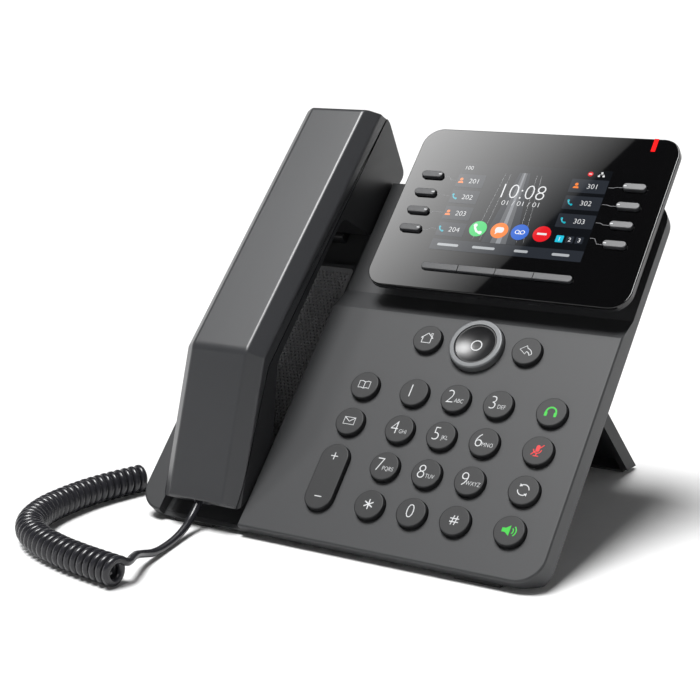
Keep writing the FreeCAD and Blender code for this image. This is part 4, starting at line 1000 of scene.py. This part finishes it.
@dataclass
class Screen:
    """The lit screen on the glass: rows, clock, round buttons and page tags."""

    deck: DeckFrame
    size: Point2 = (73.4, 49.0)
    lift: float = 0.012
    step: float = 0.03
    left_rows: tuple[float, ...] = (0.79, 0.604, 0.416, 0.231)
    right_rows: tuple[float, ...] = (0.817, 0.628, 0.428)
    buttons: tuple[float, ...] = (0.274, 0.418, 0.554, 0.698)
    tabs: tuple[float, ...] = (0.819, 0.884, 0.945)
    soft_bars: tuple[Point2, ...] = ((0.117, 10.5), (0.359, 11.0), (0.607, 6.6), (0.863, 8.2))
    beam: float = 0.44
    button_level: float = 0.262
    tab_level: float = 0.2265
    status_level: float = 0.955
    thin: float = -0.014
    glyph_stroke: float = 0.36
    drawing: Drawing = field(default_factory=lambda: Drawing(UI, 0.02))

    def _at(self, u: float, v: float) -> Point2:
        """A point of the screen from its share of the width and height."""
        return (u - 0.5) * self.size[0], (v - 0.5) * self.size[1]

    def _person(self, at: Point2, ink: int) -> None:
        """Draws a small head and shoulders.

        Args:
            at: Its middle.
            ink: The index of the finish.
        """
        x, y = at
        self.drawing.disc((x, y + 0.75), 0.8, ink, 2 * self.step, 14)
        self.drawing.shape([(x - 1.4, y - 1.4), (x + 1.4, y - 1.4), (x + 1.0, y - 0.35),
                            (x - 1.0, y - 0.35)], ink, 2 * self.step)

    def _receiver(self, at: Point2, ink: int, scale: float = 1.0, level: float = 2.0) -> None:
        """Draws a small telephone receiver.

        Args:
            at: Its middle.
            ink: The index of the finish.
            scale: Its size against the ones beside the line keys.
            level: How many steps above the ground it lies.
        """
        x, y = at
        bow = [(x + px * scale, y + py * scale) for px, py in
               ((-1.1, 1.2), (-0.9, 0.2), (-0.2, -0.8), (0.9, -1.3))]
        self.drawing.line(bow, 0.62 * scale, ink, level=level * self.step)
        for px, py in ((-1.0, 1.0), (0.9, -1.15)):
            self.drawing.disc((x + px * scale, y + py * scale), 0.55 * scale, ink,
                              level * self.step, 12)

    def _panels(self) -> None:
        """Draws the dark ground, the light beam and the row panels."""
        draw = self.drawing
        width, height = self.size
        draw.bar((0, 0), self.size, 0.6, UI.index(SCREEN_DARK))
        beam = (self.beam - 0.5) * width
        foot, head = -0.38 * height, 0.42 * height
        layers = ((5.2, SCREEN_PANEL, 0.3), (2.4, SCREEN_BEAM, 0.6), (0.7, SCREEN_BEAM_CORE, 0.9))
        for reach, ink, level in layers:
            wide, narrow = reach * 1.6, reach * 0.5
            draw.shape([(beam - wide, foot), (beam + wide, foot), (beam + narrow, head),
                        (beam - narrow, head)], UI.index(ink), self.step * level)
        for shift in (-13.0, -9.4, 8.6, 11.8):
            draw.line([(beam + shift, -0.36 * height), (beam + shift * 0.72, 0.4 * height)],
                      0.12, UI.index(SCREEN_BEAM), level=self.step)
        for v in self.left_rows:
            draw.bar(self._at(0.096, v), (0.188 * width, 0.15 * height), 0.5,
                     UI.index(SCREEN_PANEL), self.step)
        for v in self.right_rows:
            draw.bar(self._at(0.878, v), (0.238 * width, 0.15 * height), 0.5,
                     UI.index(SCREEN_PANEL), self.step)

    def _rows(self) -> None:
        """Draws the rows beside the line keys and the status marks."""
        draw = self.drawing
        white = UI.index(SCREEN_WHITE)
        marks = ((self._person, SCREEN_ORANGE), (self._receiver, SCREEN_TEAL))
        for i, v in enumerate(self.left_rows):
            mark, ink = marks[i % 2]
            mark(self._at(0.03, v), UI.index(ink))
            draw.text(str(201 + i), self._at(0.118, v), 2.7, white, 2 * self.step, self.thin)
        for i, v in enumerate(self.right_rows):
            mark, ink = marks[min(i, 1)]
            mark(self._at(0.80, v), UI.index(ink))
            draw.text(str(301 + i), self._at(0.902, v), 2.7, white, 2 * self.step, self.thin)
        draw.text("100", self._at(0.054, 0.942), 2.2, white, self.step, self.thin)
        draw.disc(self._at(0.863, self.status_level), 1.25, UI.index(SCREEN_RED), self.step, 18)
        draw.line([self._at(0.853, self.status_level), self._at(0.873, self.status_level)], 0.45,
                  white, level=2.2 * self.step)
        x, y = self._at(0.935, self.status_level)
        for px, py in ((0, 0.9), (-1.1, -0.9), (1.1, -0.9)):
            draw.bar((x + px, y + py), (1.0, 0.8), 0.1, white, self.step)
        draw.line([(x, y + 0.6), (x, y), (x - 1.1, y), (x - 1.1, y - 0.7)], 0.2, white,
                  level=self.step)
        draw.line([(x, y), (x + 1.1, y), (x + 1.1, y - 0.7)], 0.2, white, level=self.step)

    def _middle(self) -> None:
        """Draws the clock, the date line and the round buttons."""
        draw = self.drawing
        white = UI.index(SCREEN_WHITE)
        draw.text("10:08", self._at(0.479, 0.706), 8.4, white, 2 * self.step, -0.022, 0.92)
        draw.text("01 / 01 / 01", self._at(0.484, 0.573), 2.7, white, 2 * self.step, self.thin,
                  1.1)
        inks = (SCREEN_GREEN, SCREEN_ORANGE, SCREEN_BLUE, SCREEN_RED)
        for u, ink in zip(self.buttons, inks):
            draw.disc(self._at(u, self.button_level), 4.2, UI.index(ink), 2 * self.step, 36)
        over = 3.2
        level = over * self.step
        self._receiver(self._at(self.buttons[0], self.button_level), white, 1.75, over)
        x, y = self._at(self.buttons[1], self.button_level)
        draw.bar((x, y + 0.3), (4.2, 3.0), 1.2, white, level)
        draw.shape([(x - 1.6, y - 0.9), (x - 0.2, y - 1.0), (x - 1.7, y - 2.2)], white,
                   level)
        x, y = self._at(self.buttons[2], self.button_level)
        for side in (-1.25, 1.25):
            draw.line(arc((x + side, y), 0.95, 0, 345, 15), self.glyph_stroke, white, True, level)
        draw.line([(x - 1.2, y - 0.95), (x + 1.2, y - 0.95)], self.glyph_stroke, white,
                  level=level)
        x, y = self._at(self.buttons[3], self.button_level)
        draw.bar((x, y), (4.6, 1.05), 0.3, white, level)

    def _foot(self) -> None:
        """Draws the page tags and the bars over the four soft keys."""
        draw = self.drawing
        white = UI.index(SCREEN_WHITE)
        for i, u in enumerate(self.tabs):
            ink = SCREEN_CYAN if i == 0 else SCREEN_PANEL
            at = self._at(u, self.tab_level)
            draw.bar(at, (3.5, 3.6), 0.3, UI.index(ink), 2 * self.step)
            draw.text(str(i + 1), at, 2.1, white, 3.2 * self.step)
        draw.bar(self._at(0.5, 0.058), (self.size[0], 0.116 * self.size[1]), 0.3,
                 UI.index(SCREEN_PANEL), self.step)
        for u, reach in self.soft_bars:
            draw.bar(self._at(u, 0.058), (reach, 1.35), 0.6, UI.index(SCREEN_GREY),
                     2.2 * self.step)

    def build(self) -> None:
        """Draws the screen and lays it on the glass."""
        self._panels()
        self._rows()
        self._middle()
        self._foot()
        place = self.deck.matrix @ Matrix.Translation((*SCREEN_MIDDLE, GLASS_LEVEL + self.lift))
        self.drawing.lay("screen_image", place, "display_head", "screen")
        LOG.info("screen done")


@dataclass
class Bezel:
    """Leader lines from the screen to the line keys, and the light slits on the keys."""

    deck: DeckFrame
    lift: float = 0.008
    stroke: float = 0.16
    thickness: float = 0.02
    left_edge: float = -1.4
    right_edge: float = 72.8
    left_key_inner: float = -8.2
    right_key_inner: float = 79.2
    left_screen_levels: tuple[float, ...] = (182.9, 173.8, 164.6, 155.5)
    right_screen_levels: tuple[float, ...] = (184.2, 175.0, 165.2, 157.0)
    key_levels: tuple[float, ...] = (184.7, 174.54, 164.38, 154.22)
    key_face: float = 10.94
    slits: dict[str, float] = field(default_factory=lambda: {"left": -9.8, "right": 80.8})
    slit_size: Point2 = (1.3, 0.55)
    slit_corner: float = 0.15
    slit_thickness: float = 0.03

    def build(self) -> None:
        """Draws the eight leader lines and the eight slits."""
        drawing = Drawing((PRINT,), self.thickness)
        for screen_level, key_level in zip(self.left_screen_levels, self.key_levels):
            drawing.line([
                (self.left_key_inner, key_level), (self.left_edge - 4.2, key_level),
                (self.left_edge - 2.6, screen_level), (self.left_edge, screen_level),
            ], self.stroke)
        for screen_level, key_level in zip(self.right_screen_levels, self.key_levels):
            drawing.line([
                (self.right_edge, screen_level), (self.right_edge + 2.2, screen_level),
                (self.right_edge + 3.8, key_level), (self.right_key_inner, key_level),
            ], self.stroke)
        place = self.deck.matrix @ Matrix.Translation((0, 0, GLASS_LEVEL + self.lift))
        drawing.lay("leader_lines", place, "display_head", "screen")
        place = self.deck.matrix @ Matrix.Translation((0, 0, self.key_face + self.lift))
        for side, x in self.slits.items():
            for i, key_level in enumerate(self.key_levels):
                slit = Drawing((LEGEND,), self.slit_thickness)
                slit.bar((x, key_level), self.slit_size, self.slit_corner)
                slit.lay(f"slit_{side}_{i + 1}", place, f"line_key_{side}_{i + 1}", "key_plastic")
        LOG.info("bezel prints done")


@dataclass
class Dressing:
    """Gives every shown CAD node its procedural finish."""

    nodes: dict[str, bpy.types.Object]
    finishes: dict[str, Finish] = field(default_factory=lambda: {
        "front_deck": DECK, "back_cover": COVER, "case_screws": STEEL, "front_feet": RUBBER,
        "loudspeaker": LOUDSPEAKER, "keypad_membrane": MEMBRANE, "circuit_boards": BOARD,
        "rear_sockets": SOCKET, "display_hinge_pin": STEEL, "cord_plug_base": PLUG,
        "hook_plunger": HANDSET_PAINTED_SHADE, "nav_ring": RING, "ok_key": OK_GLOSS,
        "display_glass": GLASS, "display_housing": HOUSING, "lcd_panel": GLASS,
        "message_led": LED, "stand_panel": STAND, "stand_feet": RUBBER,
        "handset_outer_shell": HANDSET, "handset_inner_shell": HANDSET_PAINTED_SHADE,
        "handset_capsules": LOUDSPEAKER, "cord_plug_handset": PLUG,
        "speaker_grille": GRILLE_PAINTED_LIGHT, "cord_front_lead": CORD, "cord_coil": CORD,
        "cord_rear_lead": CORD,
    })

    def build(self) -> None:
        """Assigns the finishes; a node that isn't listed is a key."""
        for name, node in self.nodes.items():
            finish = self.finishes.get(name)
            if finish is None:
                finish = SOFT_KEY if name.startswith(("line_key", "soft_key")) else KEY
            material = finish.material()
            if not node.data.materials:
                node.data.materials.append(material)
            for index in range(len(node.data.materials)):
                node.data.materials[index] = material
        LOG.info("dressed %d nodes", len(self.nodes))


def extent() -> list[list[float]]:
    """Measures the whole object.

    Returns:
        Its lowest and highest corners, as plain lists.
    """
    bpy.context.view_layer.update()
    low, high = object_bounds()
    return [[float(c) for c in low], [float(c) for c in high]]


def main() -> None:
    """Builds the scene in order."""
    logging.basicConfig(level=logging.INFO, format="%(message)s")
    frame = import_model()
    before = extent()
    deck = DeckFrame.from_screen()
    nodes = frame["nodes"]
    Studio().build()
    Dressing(nodes).build()
    HandsetCord().build(nodes)
    HandsetShell().build(nodes)
    Grille().build(deck)
    Keypad(deck, nodes).build()
    Navigation(deck, nodes).build()
    Screen(deck).build()
    Bezel(deck).build()
    {"cad": before, "visual": extent()}


if __name__ == "__main__":
    main()
